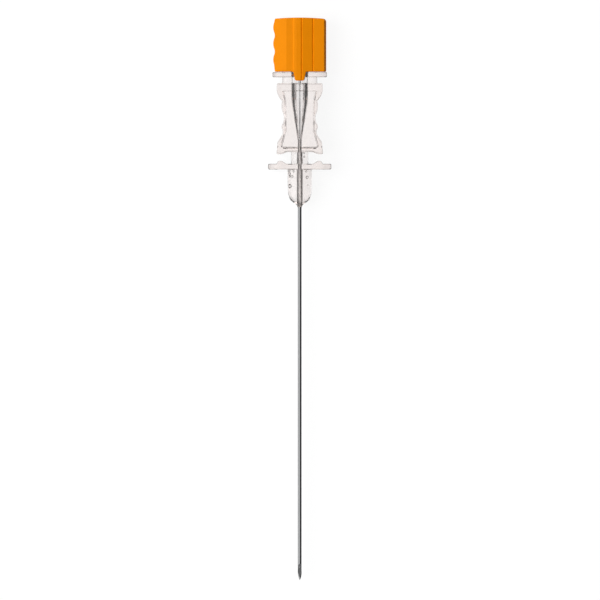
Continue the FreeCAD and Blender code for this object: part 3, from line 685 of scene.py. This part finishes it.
def grip_half(size, at):
    """The right half of the finger grip: top band, shoulder, two scallops, flare, arched base."""
    head = size.grip_width / 2
    foot = head + size.foot_spread
    waist = size.waist_width / 2
    step = head - waist
    swell = size.scallop_swell
    edge = size.edge_round
    inset = arc_inset(edge)

    def down(share):
        """The y at a share of the waist's length."""
        return -(at.waist_start + size.waist_length * share)

    def flare(place):
        """A point of the flare."""
        return head - step * place[0], -at.waist_end - size.flare_height * place[1]

    arch = [(foot * out, size.arch_height * up - at.foot_end) for out, up in ARCH]
    return (
        (head - edge, -size.body_top),
        (head - inset, -size.body_top - inset, head, -size.body_top - edge),
        (head, -at.head_end),
        (waist + step * SHOULDER_BOW[0], -(at.head_end + size.shoulder_height * SHOULDER_BOW[1]),
         waist, -at.waist_start),
        (waist + swell, down(HIGH_CREST), waist - swell, down(DEEP_START)),
        (waist - size.scallop_dip, down(DEEP_MIDDLE), waist - swell, down(DEEP_END)),
        (waist + swell, down(LOW_CREST), waist - swell / 2, down(SHALLOW_START)),
        (waist - size.scallop_step, down(SHALLOW_MIDDLE), waist + swell / 2, -at.waist_end),
        flare(FLARE_START),
        (*flare(FLARE_BOW), head - swell, -at.flare_end),
        (foot, edge - at.foot_end),
        (foot - inset, inset - at.foot_end, foot - edge, -at.foot_end),
        arch[0],
        (*arch[1], *arch[2]),
        (*arch[3], *arch[4]),
        (0, size.arch_height - at.foot_end),
    )


def grip_solid(size, at):
    """The finger grip: its outline carried through the hub's depth."""
    inset = arc_inset(size.edge_round)
    start = (0, -size.body_top)
    head = size.grip_width / 2 - inset
    foot = size.grip_width / 2 + size.foot_spread - inset
    top, bottom = -size.body_top - inset, inset - at.foot_end
    return slab(trace(start, mirrored(grip_half(size, at), start)),
                ((-foot, bottom), (foot, bottom), (head, top), (-head, top)), GRIP_QUADS,
                rounded_rows(size.edge_round), -PLATE_DEPTH / 2, PLATE_DEPTH / 2, soften=0.12)


def neck_solids(size):
    """The neck's web and the round collar in it, both sunk into the flange and the grip."""
    low, high = -(size.body_top + size.edge_round * 2), -size.flange_thick / 2
    radius = size.collar_diameter / 2
    web = cross_slab(size.web_depth, size.neck_width, size.neck_corner, NECK_QUADS,
                     rounded_rows(0.0, 1, False, False), low, high)
    return web, lathe((0, high), ((radius, high), (radius, low), (0, low)), 0.15)


# The stop on each wing: how far inside the foot it ends, and the lengths of its steep back and
# of its rise.
STOP_INSET, STOP_BACK, STOP_RISE = 0.1, 0.85, 1.6


def wing_solid(size, at):
    """The two finger wings in one plate, whose upper face rises to a stop beside each foot."""
    steep = size.grip_width / 2 + size.foot_spread - STOP_INSET
    crest = steep - STOP_BACK

    def upper_face(flat):
        """Half a wave up to the stop's crest, then a steep curve down its back: the root of 1
        less the cube of the way down."""
        across = np.abs(flat[..., 1])
        slope = np.clip((across - (crest - STOP_RISE)) / STOP_RISE, 0, 1)
        fall = np.clip((across - crest) / STOP_BACK, 0, 1)
        swell = 0.5 - 0.5 * np.cos(math.pi * slope)
        return -at.wing_top + size.hump_height * swell * np.sqrt(np.clip(1 - fall ** 3, 0, 1))

    return cross_slab(PLATE_DEPTH, size.wing_width, size.wing_corner, WING_QUADS,
                      rounded_rows(size.edge_round), -at.wing_end, upper_face)


# A point that the nose's ogive passes, as shares of the step in diameter and of its length.
OGIVE_BOW = (0.16, 0.58)


def nose_solid(size, steel, at):
    """The stem and the bullet nose, turned from one outline. The stem's top is sunk into the
    grip's base, and the nose's into the wings."""
    stem = size.stem_diameter / 2
    top = -(at.flare_end + 0.3)
    step = -(at.wing_top + size.wing_thick / 2)
    rim_width, chamfer_out, chamfer_up = 0.15, 0.05, 0.04
    rim = steel.bead_radius + rim_width
    return lathe((0, top), (
        (stem, top),
        (stem, step),
        (size.nose_diameter / 2, step),
        (size.nose_waist / 2, -at.barrel_end),
        (size.nose_waist / 2 - (size.nose_waist - size.nose_shoulder) * OGIVE_BOW[0],
         -at.barrel_end - size.nose_ogive * OGIVE_BOW[1], size.nose_shoulder / 2, -at.ogive_end),
        (rim + chamfer_out, chamfer_up - at.nose_end),
        (rim, -at.nose_end),
        (0, -at.nose_end),
    ), 0.15)


# The socket's rounded lip: how far each point of its arc stands outside the mouth, and its y.
LIP = ((0.15, 0.05), (0.05, -0.05), (-0.005, -0.2))
# The gap between the tube and the hole that it stands in.
HOLE_GAP = 0.01
# How far the cutters reach past the hub's top and front, and past its nose.
PAST_TOP, PAST_NOSE = 0.6, 0.5


def passage_cutter(size, steel, at):
    """What is hollow along the axis: taper socket, funnel, bore and adhesive well."""
    mouth = size.luer_mouth / 2
    above, below = PAST_TOP, -(at.nose_end + PAST_NOSE)
    funnel_end = -(size.luer_depth + size.funnel_length)
    well_top = steel.well_length - at.nose_end
    hole = steel.cannula_diameter / 2 + HOLE_GAP
    outer, middle, inner = ((mouth + out, y) for out, y in LIP)
    return lathe((0, above), (
        (outer[0], above),
        outer,
        (*middle, *inner),
        (mouth - TAPER * size.luer_depth, -size.luer_depth),
        (hole, funnel_end),
        (hole, well_top),
        (steel.well_radius, well_top),
        (steel.well_radius, below),
        (0, below),
    ), 0.1)


def key_cutter(size):
    """The key slot in the flange's front. It reaches just under the flange, and its floor is a
    hair above the windows' flats, so that no two cutters lie in one plane."""
    half, face = size.key_width / 2, PLATE_DEPTH / 2
    under, lift = 0.05, 0.005
    return block((-half, -size.flange_thick - under, face - size.key_depth + lift),
                 (half, PAST_TOP, face + PAST_TOP))


def window_outline(size, at, bottom):
    """A window's outline, narrowest low in the waist, and its four corners."""
    upper = size.grip_width / 2 - size.window_rim_top
    waist = size.waist_width / 2 - size.window_rim
    lower = size.grip_width / 2 - size.window_rim_base
    narrowest = -(at.waist_start + size.waist_length * 0.85)
    corner = size.window_corner
    inset = arc_inset(corner)
    top = -at.head_end
    # The lower corners are twice as tall as they are wide.
    half = (
        (upper, top),
        (waist, -at.waist_start),
        (waist - size.scallop_swell, narrowest),
        (lower, bottom + corner * 2.0),
        (lower - inset * 0.5, bottom + inset, lower - corner, bottom),
        (0, bottom),
    )
    return (trace((0, top), mirrored(half, (0, top))),
            ((-lower, bottom), (lower, bottom), (upper, top), (-upper, top)))


# The windows' walls lean out by this angle, and are rounded this much where they meet the flat.
WINDOW_DRAFT = math.radians(6.0)
FLOOR_ROUND = 0.12


def window_cutters(size, at):
    """The window in the front and in the back, each with two ledges over it. Only the back one's
    mouth is chamfered."""
    face = PLATE_DEPTH / 2
    above = 0.4
    chamfer = size.window_chamfer
    draft = math.tan(WINDOW_DRAFT)
    lean = draft * (size.window_depth - chamfer)
    floor_rows = rounded_rows(FLOOR_ROUND, 4, high=False)[:-1]
    front_rows = np.vstack((floor_rows, (-draft * (size.window_depth + above), 1.0, 0.0)))
    back_rows = np.vstack((floor_rows, (-lean, 1.0, -(above + chamfer)),
                           (-(lean + chamfer + above), 1.0, 0.0)))
    cutters = []
    for side, rows in ((1, front_rows), (-1, back_rows)):
        outline = window_outline(size, at, -(at.flare_end + size.window_sill))
        shapes = [slab(*outline, WINDOW_QUADS, rows, face - size.window_depth, face + above,
                       soften=0.3)]
        for number in (1, 2):
            top = -(size.body_top + size.ledge_start + size.ledge_height * (number - 1))
            width = size.neck_width / 2 - STEP_ASIDE * number
            shapes.append(block((-width, -at.head_end - STEP_ASIDE * number,
                                 face - size.ledge_depth * number), (width, top, face + above)))
        cutters += [(points * (1, 1, side), quads) for points, quads in shapes]
    return cutters


def sill_wedge(size, at):
    """A three-sided bar that chamfers the back window's sill."""
    back = -PLATE_DEPTH / 2
    past = 0.1
    sill = STEP_ASIDE - (at.flare_end + size.window_sill)
    reach = size.grip_width / 2 - size.window_rim_base - size.window_corner * 0.6
    points = np.array([(x, y, z) for x in (-reach, reach) for y, z in (
        (sill, back - past), (sill, back + size.sill_chamfer),
        (sill - size.sill_chamfer - past, back - past))])
    return points, np.array(((0, 1, 2, 2), (3, 5, 4, 4), (0, 3, 4, 1), (1, 4, 5, 2), (2, 5, 3, 0)))


# Small voids in the thick plastic round the tube: x, station, z and radius.
VOIDS = (
    (-1.84, 23.2, 0.2, 0.24), (-1.56, 24.0, -0.3, 0.26), (-1.66, 24.6, 0.1, 0.2),
    (-1.08, 23.4, 0.5, 0.18), (-1.14, 24.6, -0.2, 0.22), (-1.6, 26.9, 0.0, 0.36),
    (1.07, 23.4, 0.3, 0.18), (1.1, 24.8, -0.2, 0.24), (1.3, 26.7, 0.2, 0.14),
    (0.68, 19.15, 0.0, 0.16), (0.7, 19.97, 0.1, 0.17),
)


def void(x, station, z, radius):
    """An egg-shaped void: a circle's points, drawn out by half along the needle, turned about
    their own axis."""
    angle = np.linspace(0, math.pi, 13)
    circle = np.column_stack((radius * np.sin(angle), 1.5 * radius * np.cos(angle)))
    points, quads = turned(circle, 20)
    return points + (x, -station, z), quads


def hub_solids(size, steel):
    """The hub's closed solids, and the ones that are cut from them."""
    at = hub_stations(size)
    flange = cross_slab(PLATE_DEPTH, size.flange_width, size.flange_corner, FLANGE_QUADS,
                        rounded_rows(size.edge_round), -size.flange_thick, 0.0)
    solids = (grip_solid(size, at), *neck_solids(size), flange, wing_solid(size, at),
              nose_solid(size, steel, at))
    cutters = (passage_cutter(size, steel, at), key_cutter(size), *window_cutters(size, at),
               sill_wedge(size, at), *(void(*place) for place in VOIDS))
    return solids, cutters


def ground_end(x, z, steel):
    """Station where the point is ground off at x, z: the least of three planes' stations. A plane
    at angle a passes depth d behind the axis at its station p, and meets height h at the station
    p - (h + d) / tan a; the facets' heights are taken along directions turned to either side."""
    radius = steel.cannula_diameter / 2
    point = station(TUBE_LOW)
    bevel = point + steel.lancet_setback - (z + radius) / math.tan(steel.bevel_angle)
    turn = steel.lancet_turn
    facets = [point - (z * math.cos(turn) + side * x * math.sin(turn) + radius * math.cos(turn))
              / math.tan(steel.lancet_angle) for side in (1, -1)]
    return np.minimum(np.minimum(bevel, facets[0]), facets[1])


def ground_start(steel):
    """Station where grinding first meets the tube, on its front."""
    return ground_end(0.0, steel.cannula_diameter / 2, steel)


# Rings spread evenly along a rod's wall and over its ground face. The even ones end above the
# point, one more stands between, and the face's edges have a narrow band.
WALL_RINGS, FACE_RINGS = 38, 9
EVEN_END, NEXT_RING, EDGE_BAND = 0.4, 0.2, 0.006


def ground_rod(outer, inner, start, steel, count=240):
    """Points and quads of a tube or rod ground to a point. Its rings run down the outer wall,
    in over the ground face and back up the bore; each ring's points lie at radius times the sine
    and cosine of the angle, and those of the ground face follow its planes."""
    angle = np.linspace(0, math.tau, count, endpoint=False)
    sine, cosine = np.sin(angle), np.cos(angle)
    evenly = np.linspace(station(BOND_LOW), ground_start(steel) - EVEN_END, WALL_RINGS)
    walls = np.concatenate(((start,), evenly, (evenly[-1] + NEXT_RING,)))

    def ring(radius, place):
        return np.column_stack((radius * sine, -np.broadcast_to(place, angle.shape),
                                radius * cosine))

    rings = [ring(outer, place) for place in walls]
    inmost = inner + EDGE_BAND if inner else 0.0
    radii = np.concatenate(((outer,), np.linspace(outer - EDGE_BAND, inmost, FACE_RINGS)))
    rings += [ring(radius, ground_end(radius * sine, radius * cosine, steel)) for radius in radii]
    if inner:
        rings.append(ring(inner, ground_end(inner * sine, inner * cosine, steel)))
        rings += [ring(inner, place) for place in walls[::-1]]
        rings.append(rings[0])
    else:
        rings.insert(0, ring(0.0, start))
    return np.concatenate(rings), grid_faces(len(rings), count, closed=True)


class NEEDLE_OT_hub(bpy.types.Operator):
    """Builds the clear hub: flange, neck, finger grip with its windows, wings, nose and passage"""
    bl_idname = "needle.hub"
    bl_label = "Clear hub"

    def execute(self, context):
        scene = context.scene
        steel = millimetres(scene.needle_steel)
        solids, cutters = hub_solids(millimetres(scene.needle_hub), steel)
        made = [make_object(f"hub_solid_{number}", *part) for number, part in enumerate(solids)]
        tools = [make_object(f"hub_cutter_{number}", *part) for number, part in enumerate(cutters)]
        hub = combine(made[0], made[1:], "UNION")
        hub = combine(hub, tools, "DIFFERENCE")
        hub.name = "clear_hub"
        clean_cuts(hub)
        finish_piece(hub, "needle", ["hub"],
                     [clear_plastic(scene.needle_finishes), wetted_wall()], 32.0)
        x, y, z = face_middles(hub.data).T
        nose_end = station(BOND_LOW) - steel.bead_height
        beside, above = 0.01, 0.001
        wetted = ((np.hypot(x, z) < steel.well_radius + beside) & (y > above - nose_end)
                  & (y < above - (nose_end - steel.well_length)))
        hub.data.polygons.foreach_set("material_index", wetted.astype(np.int32))
        return {"FINISHED"}


def finish_steel(piece, body, node, steel, wall, ground, blasted=None):
    """Gives a tube or wire the material of its wall, its ground, flat-shaded point and, where it
    has one, the blasted end that stands in the hub."""
    finish_piece(piece, body, [node], [wall, ground] + ([blasted] if blasted else []))
    mesh = piece.data
    y = face_middles(mesh)[:, 1]
    normals = np.empty(len(mesh.polygons) * 3)
    mesh.polygons.foreach_get("normal", normals)
    # The point's faces lean toward its tip, and the wall's don't.
    in_point = (y < 0.5 - ground_start(steel)) & (normals[1::3] < -0.05)
    in_hub = (y > -station(BOND_LOW)) & (blasted is not None)
    mesh.polygons.foreach_set("material_index", (in_point + 2 * in_hub).astype(np.int32))
    mesh.polygons.foreach_set("use_smooth", ~in_point)


class NEEDLE_OT_tube(bpy.types.Operator):
    """Builds the steel tube with its lancet point and the blasted end that the adhesive holds"""
    bl_idname = "needle.tube"
    bl_label = "Needle tube"

    def execute(self, context):
        finish = context.scene.needle_finishes
        steel = millimetres(context.scene.needle_steel)
        outer = steel.cannula_diameter / 2
        tube = make_object("needle_tube", *ground_rod(outer, outer - steel.cannula_wall,
                                                      station(TUBE_HIGH), steel))
        finish_steel(tube, "needle", "cannula", steel, drawn_steel(finish), ground_steel(finish),
                     blasted_steel(finish))
        return {"FINISHED"}


def wire_radius(steel):
    """The wire's radius: the tube's bore less the gap round the wire."""
    return steel.cannula_diameter / 2 - steel.cannula_wall - steel.wire_fit


class NEEDLE_OT_wire(bpy.types.Operator):
    """Builds the stylet's solid wire, ground flush with the tube's point"""
    bl_idname = "needle.wire"
    bl_label = "Stylet wire"

    def execute(self, context):
        finish = context.scene.needle_finishes
        steel = millimetres(context.scene.needle_steel)
        wire = make_object("wire", *ground_rod(wire_radius(steel), 0.0, -steel.wire_grip, steel,
                                               120))
        finish_steel(wire, "stylet", "stylet_wire", steel, polished_steel(finish),
                     ground_steel(finish))
        return {"FINISHED"}


class NEEDLE_OT_adhesive(bpy.types.Operator):
    """Builds the cured adhesive that fills the well and stands in a small bead on the nose"""
    bl_idname = "needle.adhesive"
    bl_label = "Adhesive"

    def execute(self, context):
        finish = context.scene.needle_finishes
        steel = millimetres(context.scene.needle_steel)
        gap, sunk, edge, rim, hollow = 0.004, 0.01, 0.08, 0.1, 0.1
        end = -station(BOND_LOW)
        top = -(station(BOND_HIGH) + gap)
        foot = end + steel.bead_height - gap
        tube = steel.cannula_diameter / 2
        inner, feather = tube - sunk, tube + edge
        wall = steel.well_radius - gap
        bead = steel.bead_radius
        profile = trace((inner, top), (
            (wall, top),
            (wall, foot),
            (bead, foot),
            (bead, foot + gap - rim),
            ((bead + feather) / 2 - hollow, end + steel.bead_height / 2, feather, end),
            (inner, end),
            (inner, top),
        ), 0.08)
        bond = make_object("adhesive", *turned(np.vstack((profile, profile[:1])), 96))
        finish_piece(bond, "needle", ["adhesive_bond"],
                     [cured_adhesive(finish), wetted_wall()], 35.0)
        hidden = face_middles(bond.data)[:, 1] > foot + gap / 2
        bond.data.polygons.foreach_set("material_index", hidden.astype(np.int32))
        return {"FINISHED"}


# The steep side of a relief groove is this wide, and heights are worked out this far apart and
# eased over this many neighbours each way.
STEEP_FLANK = 0.08
HEIGHT_STEP = 0.01
EASED_OVER = 7


def relief(size, crest, sign):
    """The height of one face of the cap at a distance across it: straight runs between its
    creases, eased by the weighted mean of the heights near by."""
    side = size.cap_width / 2
    half_groove = size.groove_width / 2
    rib_foot = crest - size.rib_step
    shoulder = crest - size.facet_drop
    points = np.array((
        (-side - 1, size.cap_side - 0.5),
        (-side, size.cap_side),
        (-size.facet_edge, shoulder),
        (-size.rib_edge, rib_foot),
        (-size.rib_edge + size.rib_step / 2, crest - size.rib_step / 4),
        (-size.rib_edge / 2, crest),
        (size.groove_inner - half_groove, crest),
        (size.groove_inner + half_groove - STEEP_FLANK, crest - size.groove_depth),
        (size.groove_inner + half_groove, crest),
        (size.groove_outer - half_groove, rib_foot),
        (size.groove_outer + half_groove - STEEP_FLANK, rib_foot - size.groove_depth),
        (size.groove_outer + half_groove, rib_foot),
        (side - size.cap_corner * 0.6, shoulder),
        (side, size.cap_side),
        (side + 1, size.cap_side - 1),
    ))
    across = np.arange(-side - 1, side + 1, HEIGHT_STEP)
    height = np.interp(across, *points.T)
    weights = np.hanning(2 * EASED_OVER + 1)
    height = np.convolve(np.pad(height, EASED_OVER, mode="edge"), weights / weights.sum(),
                         mode="valid")
    return lambda flat: sign * np.interp(flat[..., 0] * sign, across, height)


def cap_bumps(size, side, low):
    """Steps down the cap's bumpy side: three bumps, each an arc over its middle, with an arc
    through the hollow between two of them."""
    flat = size.bump_height - side
    slope = size.bump_height / 2 - side
    half_chord = 1.05
    pitch = (size.cap_height - size.bump_start - size.bump_end) / 2
    steps = []
    for number in (2, 1, 0):
        middle = size.bump_start + pitch * number + low
        if number == 2:
            steps.append((slope, middle + half_chord))
        steps.append((-side, middle, slope, middle - half_chord))
        if number:
            steps.append((flat, middle - pitch / 2, slope, middle - pitch + half_chord))
    return steps


def cap_steps(size):
    """The cap's outline with its key tab, anticlockwise from its lower right corner."""
    side = size.cap_width / 2
    left = size.bump_height - side
    low, high = size.cap_gap, size.cap_gap + size.cap_height
    foot = low - size.tab_length
    big, small, turn = size.cap_corner, size.corner_small, size.tab_round
    big_inset, small_inset, inset = arc_inset(big), arc_inset(small), arc_inset(turn)
    steps = [
        (side - small_inset, low + small_inset, side, low + small),
        (side, high - big),
        (side - big_inset, high - big_inset, side - big, high),
        (0, high + size.cap_crown, left + small, high),
        (left + small_inset, high - small_inset, left, high - small),
        *cap_bumps(size, side, low),
        (left, low + small),
        (left + small_inset, low + small_inset, left + small, low),
        (-size.tab_root, low),
        (-size.tab_end, foot + turn),
        (inset - size.tab_end, foot + inset, turn - size.tab_end, foot),
        (size.tab_end - turn, foot),
        (size.tab_end - inset, foot + inset, size.tab_end, foot + turn),
        (size.tab_root, low),
        (side - small, low),
    ]
    corners = ((left + small_inset, low + small_inset), (side - small_inset, low + small_inset),
               (side - big_inset, high - big_inset), (left + small_inset, high - small_inset))
    return (side - small, low), steps, corners


class NEEDLE_OT_cap(bpy.types.Operator):
    """Builds the stylet's orange cap with its finger bumps, relief, key tab and plug"""
    bl_idname = "needle.cap"
    bl_label = "Stylet cap"

    def execute(self, context):
        scene = context.scene
        size = millimetres(scene.needle_cap)
        hub = millimetres(scene.needle_hub)
        steel = millimetres(scene.needle_steel)
        start, steps, corners = cap_steps(size)
        cap = make_object("finger_cap", *slab(
            trace(start, steps), corners, CAP_QUADS, rounded_rows(size.cap_round),
            relief(size, size.cap_back, -1), relief(size, size.cap_front, 1), soften=0.09))
        # The tab's outline runs through the whole cap, so what lies behind the tab is cut off.
        reach, below, back, under_cap = 2.2, -3.0, -6.0, size.cap_gap - 0.01
        behind = make_object("behind_tab", *block((-reach, below, back),
                                                  (reach, under_cap, size.tab_back)))
        # The plug's root is sunk into the cap, and its end is rounded.
        root, end, rounding = 0.55, -size.plug_length, 0.1
        mouth = hub.luer_mouth / 2 - size.plug_gap
        tip = mouth - TAPER * size.plug_length
        plug = make_object("cap_plug", *lathe((0, root), (
            (mouth, root),
            (mouth, 0.0),
            (tip, end + rounding),
            (tip - rounding * 0.3, end + rounding * 0.3, tip - rounding, end),
            (0, end),
        ), 0.05))
        radius, below = wire_radius(steel), end - 0.5
        socket = make_object("wire_socket", *turned(np.array((
            (0, steel.wire_grip), (radius, steel.wire_grip), (radius, below), (0, below))), 48))
        for other, operation in ((behind, "DIFFERENCE"), (plug, "UNION"), (socket, "DIFFERENCE")):
            combine(cap, [other], operation)
        clean_cuts(cap)
        finish_piece(cap, "stylet", ["stylet_cap"],
                     [orange_plastic(scene.needle_finishes)], 40.0)
        return {"FINISHED"}


# The floor, in metres: its reach each way and its top, just under what lies on it.
FLOOR_REACH = 0.9
FLOOR_TOP = -0.00002
# How white the floor is, how much it glows where it is seen, and the glow's share there.
FLOOR_WHITE, FLOOR_GLOW, GLOW_SHARE = 0.80, 1.06, 0.86
# The inputs of a ramp. Each ramp below gives where it starts and ends, and its values there.
RAMP = ("Value", "From Min", "From Max", "To Min", "To Max")
# Painted shade in reflections: steel and clear plastic see the floor darkened to the needle's right
# and left, though nothing dark lies there, while the camera sees it white. By the metres across, how
# dark it is.
PAINTED_DARK_RIGHT, PAINTED_DARK_LEFT = (0.0048, 0.0085, 0.0, 0.97), (-0.0085, -0.0048, 0.95, 0.0)
# How bright the room is, by the parts of a direction of length 1: across for steel and for clear
# plastic, by how far it points past the needle's point, and by its height for clear plastic.
STEEL_SIDE, CLEAR_SIDE = (-0.6, 0.6, 1.26, 0.16), (-0.5, 0.5, 0.45, 1.2)
PAST_POINT, CLEAR_HEIGHT = (-0.5, -0.1, 0.15, 1.0), (0.25, 0.9, 0.4, 2.2)
# The dark past the point is turned toward the right: a direction's y less this share of its x.
POINT_TURN = 0.9
# The softbox and the camera, in metres and watts.
KEY_PLACE, KEY_WIDTH, KEY_POWER = (-0.45, 0.05, 0.7), 0.5, 3.3
CAMERA_PLACE, VIEW_WIDTH = (0.00007, -0.00027, 0.6), 0.1415


def lay_floor(scene):
    """A white laminate floor that shows white to the camera and keeps the needle's shadow. Gloss and
    clear plastic see it white under the needle, with painted shade to its right and left."""
    reach = FLOOR_REACH
    mesh = bpy.data.meshes.new("floor")
    mesh.from_pydata([(x, y, FLOOR_TOP) for x, y in (
        (-reach, -reach), (reach, -reach), (reach, reach), (-reach, reach))], [], [(0, 1, 2, 3)])
    floor = bpy.data.objects.new("floor", mesh)
    scene.collection.objects.link(floor)
    material = bpy.data.materials.new("White laminate floor")
    material.use_nodes = True
    tree = material.node_tree
    tree.nodes.clear()
    ray = add_node(tree, "ShaderNodeLightPath").outputs
    mirrored_ray = add_node(tree, "ShaderNodeMath", {
        0: ray["Is Glossy Ray"], 1: ray["Is Transmission Ray"]}, operation="MAXIMUM").outputs[0]
    seen = add_node(tree, "ShaderNodeMath", {
        0: ray["Is Camera Ray"], 1: mirrored_ray}, operation="MAXIMUM").outputs[0]
    place = add_node(tree, "ShaderNodeTexCoord").outputs["Object"]
    across = add_node(tree, "ShaderNodeSeparateXYZ", {"Vector": place}).outputs["X"]
    # Painted shade: the floor's white and glow fall off to the needle's right and left, by its x.
    right, left = (
        add_node(tree, "ShaderNodeMapRange", dict(zip(RAMP, (across, *ramp))),
                 interpolation_type="SMOOTHSTEP").outputs["Result"]
        for ramp in (PAINTED_DARK_RIGHT, PAINTED_DARK_LEFT))
    painted_reflection_shade = add_node(tree, "ShaderNodeMath", {0: right, 1: left}, operation="ADD").outputs[0]
    # Only gloss and clear plastic see the painted shade; camera rays keep the floor white.
    painted_shade_seen = add_node(tree, "ShaderNodeMath", {0: painted_reflection_shade, 1: mirrored_ray},
                      operation="MULTIPLY").outputs[0]
    white, glow = (
        add_node(tree, "ShaderNodeMapRange",
                 {"Value": painted_shade_seen, "To Min": level, "To Max": 0.0}).outputs["Result"]
        for level in (FLOOR_WHITE, FLOOR_GLOW))
    matt = add_node(tree, "ShaderNodeBsdfDiffuse", {"Color": white})
    glowing = add_node(tree, "ShaderNodeEmission", {"Color": linear("#FFFFFF"), "Strength": glow})
    share = add_node(tree, "ShaderNodeMath", {0: seen, 1: GLOW_SHARE}, operation="MULTIPLY")
    mixed = add_node(tree, "ShaderNodeMixShader", {
        0: share.outputs[0], 1: matt.outputs["BSDF"], 2: glowing.outputs["Emission"]})
    add_node(tree, "ShaderNodeOutputMaterial", {"Surface": mixed.outputs["Shader"]})
    mesh.materials.append(material)


def light_room(scene):
    """The studio round the needle, which the camera sees white: bright to the needle's left, dark
    to its right and dark past its point. What stands in the clear plastic is lit from the other
    side, and clear plastic also shows the dark lower walls that the steel's roughness blurs."""
    world = bpy.data.worlds.new("Studio")
    world.use_nodes = True
    tree = world.node_tree
    tree.nodes.clear()
    ray = add_node(tree, "ShaderNodeLightPath").outputs
    place = add_node(tree, "ShaderNodeTexCoord").outputs["Generated"]
    way = add_node(tree, "ShaderNodeSeparateXYZ", {"Vector": place}).outputs
    slant = add_node(tree, "ShaderNodeMath", {0: way["X"], 1: -POINT_TURN, 2: way["Y"]},
                     operation="MULTIPLY_ADD").outputs[0]
    outside, inside, ahead, overhead = (
        add_node(tree, "ShaderNodeMapRange", dict(zip(RAMP, (value, *ramp))),
                 interpolation_type="SMOOTHSTEP").outputs["Result"]
        for value, ramp in ((way["X"], STEEL_SIDE), (way["X"], CLEAR_SIDE), (slant, PAST_POINT),
                            (way["Z"], CLEAR_HEIGHT)))
    side, height = (
        add_node(tree, "ShaderNodeMapRange",
                 {"Value": ray["Is Transmission Ray"], "To Min": plain,
                  "To Max": through}).outputs["Result"]
        for plain, through in ((outside, inside), (1.0, overhead)))
    shaped = add_node(tree, "ShaderNodeMath", {0: side, 1: ahead}, operation="MULTIPLY")
    level = add_node(tree, "ShaderNodeMath", {0: shaped.outputs[0], 1: height},
                     operation="MULTIPLY")
    room, wall = (add_node(tree, "ShaderNodeBackground", {
        "Color": linear("#FFFFFF"), "Strength": strength}).outputs["Background"]
        for strength in (level.outputs[0], 1.0))
    mixed = add_node(tree, "ShaderNodeMixShader", {0: ray["Is Camera Ray"], 1: room, 2: wall})
    add_node(tree, "ShaderNodeOutputWorld", {"Surface": mixed.outputs["Shader"]})
    scene.world = world


def hang_softbox(scene):
    """A square softbox up to the needle's left, aimed at its middle. Gloss and clear plastic show
    the bright wall on that side instead of it."""
    light = bpy.data.lights.new("Key softbox", "AREA")
    light.size = KEY_WIDTH
    light.energy = KEY_POWER
    lamp = bpy.data.objects.new("Key softbox", light)
    scene.collection.objects.link(lamp)
    lamp.location = KEY_PLACE
    lamp.rotation_euler = (-Vector(KEY_PLACE)).to_track_quat("-Z", "Y").to_euler()
    lamp.visible_glossy = False
    lamp.visible_transmission = False


def set_camera(scene):
    """A camera straight over the needle, without perspective."""
    camera = bpy.data.cameras.new("Camera")
    camera.type = "ORTHO"
    camera.ortho_scale = VIEW_WIDTH
    camera.clip_start, camera.clip_end = 0.01, 5.0
    item = bpy.data.objects.new("Camera", camera)
    scene.collection.objects.link(item)
    item.location = CAMERA_PLACE
    scene.camera = item


class NEEDLE_OT_stage(bpy.types.Operator):
    """Lays the pale floor and sets the studio light, the world and the camera over the needle"""
    bl_idname = "needle.stage"
    bl_label = "Stage"

    def execute(self, context):
        scene = context.scene
        scene.view_settings.view_transform = "Standard"
        lay_floor(scene)
        light_room(scene)
        hang_softbox(scene)
        set_camera(scene)
        return {"FINISHED"}


class NEEDLE_PT_panel(bpy.types.Panel):
    """Lists the needle's sizes, finishes and steps in the sidebar"""
    bl_label = "Spinal needle"
    bl_idname = "NEEDLE_PT_panel"
    bl_space_type = "VIEW_3D"
    bl_region_type = "UI"
    bl_category = "Needle"

    def draw(self, context):
        layout = self.layout
        for step in STEPS:
            layout.operator(step.bl_idname)
        for attribute, group in GROUPS:
            box = layout.box()
            box.label(text=group.__doc__)
            for name in group.__annotations__:
                box.prop(getattr(context.scene, attribute), name)


GROUPS = (("needle_hub", NeedleHubSizes), ("needle_steel", NeedleSteelSizes),
          ("needle_cap", NeedleCapSizes), ("needle_finishes", NeedleFinishes))
STEPS = (NEEDLE_OT_hub, NEEDLE_OT_tube, NEEDLE_OT_adhesive, NEEDLE_OT_wire, NEEDLE_OT_cap,
         NEEDLE_OT_stage)


def register():
    for attribute, group in GROUPS:
        bpy.utils.register_class(group)
        setattr(bpy.types.Scene, attribute, bpy.props.PointerProperty(type=group))
    for item in (*STEPS, NEEDLE_PT_panel):
        bpy.utils.register_class(item)


def unregister():
    for item in (NEEDLE_PT_panel, *reversed(STEPS)):
        bpy.utils.unregister_class(item)
    for attribute, group in reversed(GROUPS):
        delattr(bpy.types.Scene, attribute)
        bpy.utils.unregister_class(group)


def main():
    register()
    bpy.ops.needle.hub()
    bpy.ops.needle.tube()
    bpy.ops.needle.adhesive()
    bpy.ops.needle.wire()
    bpy.ops.needle.cap()
    bpy.ops.needle.stage()


if __name__ == "__main__":
    main()
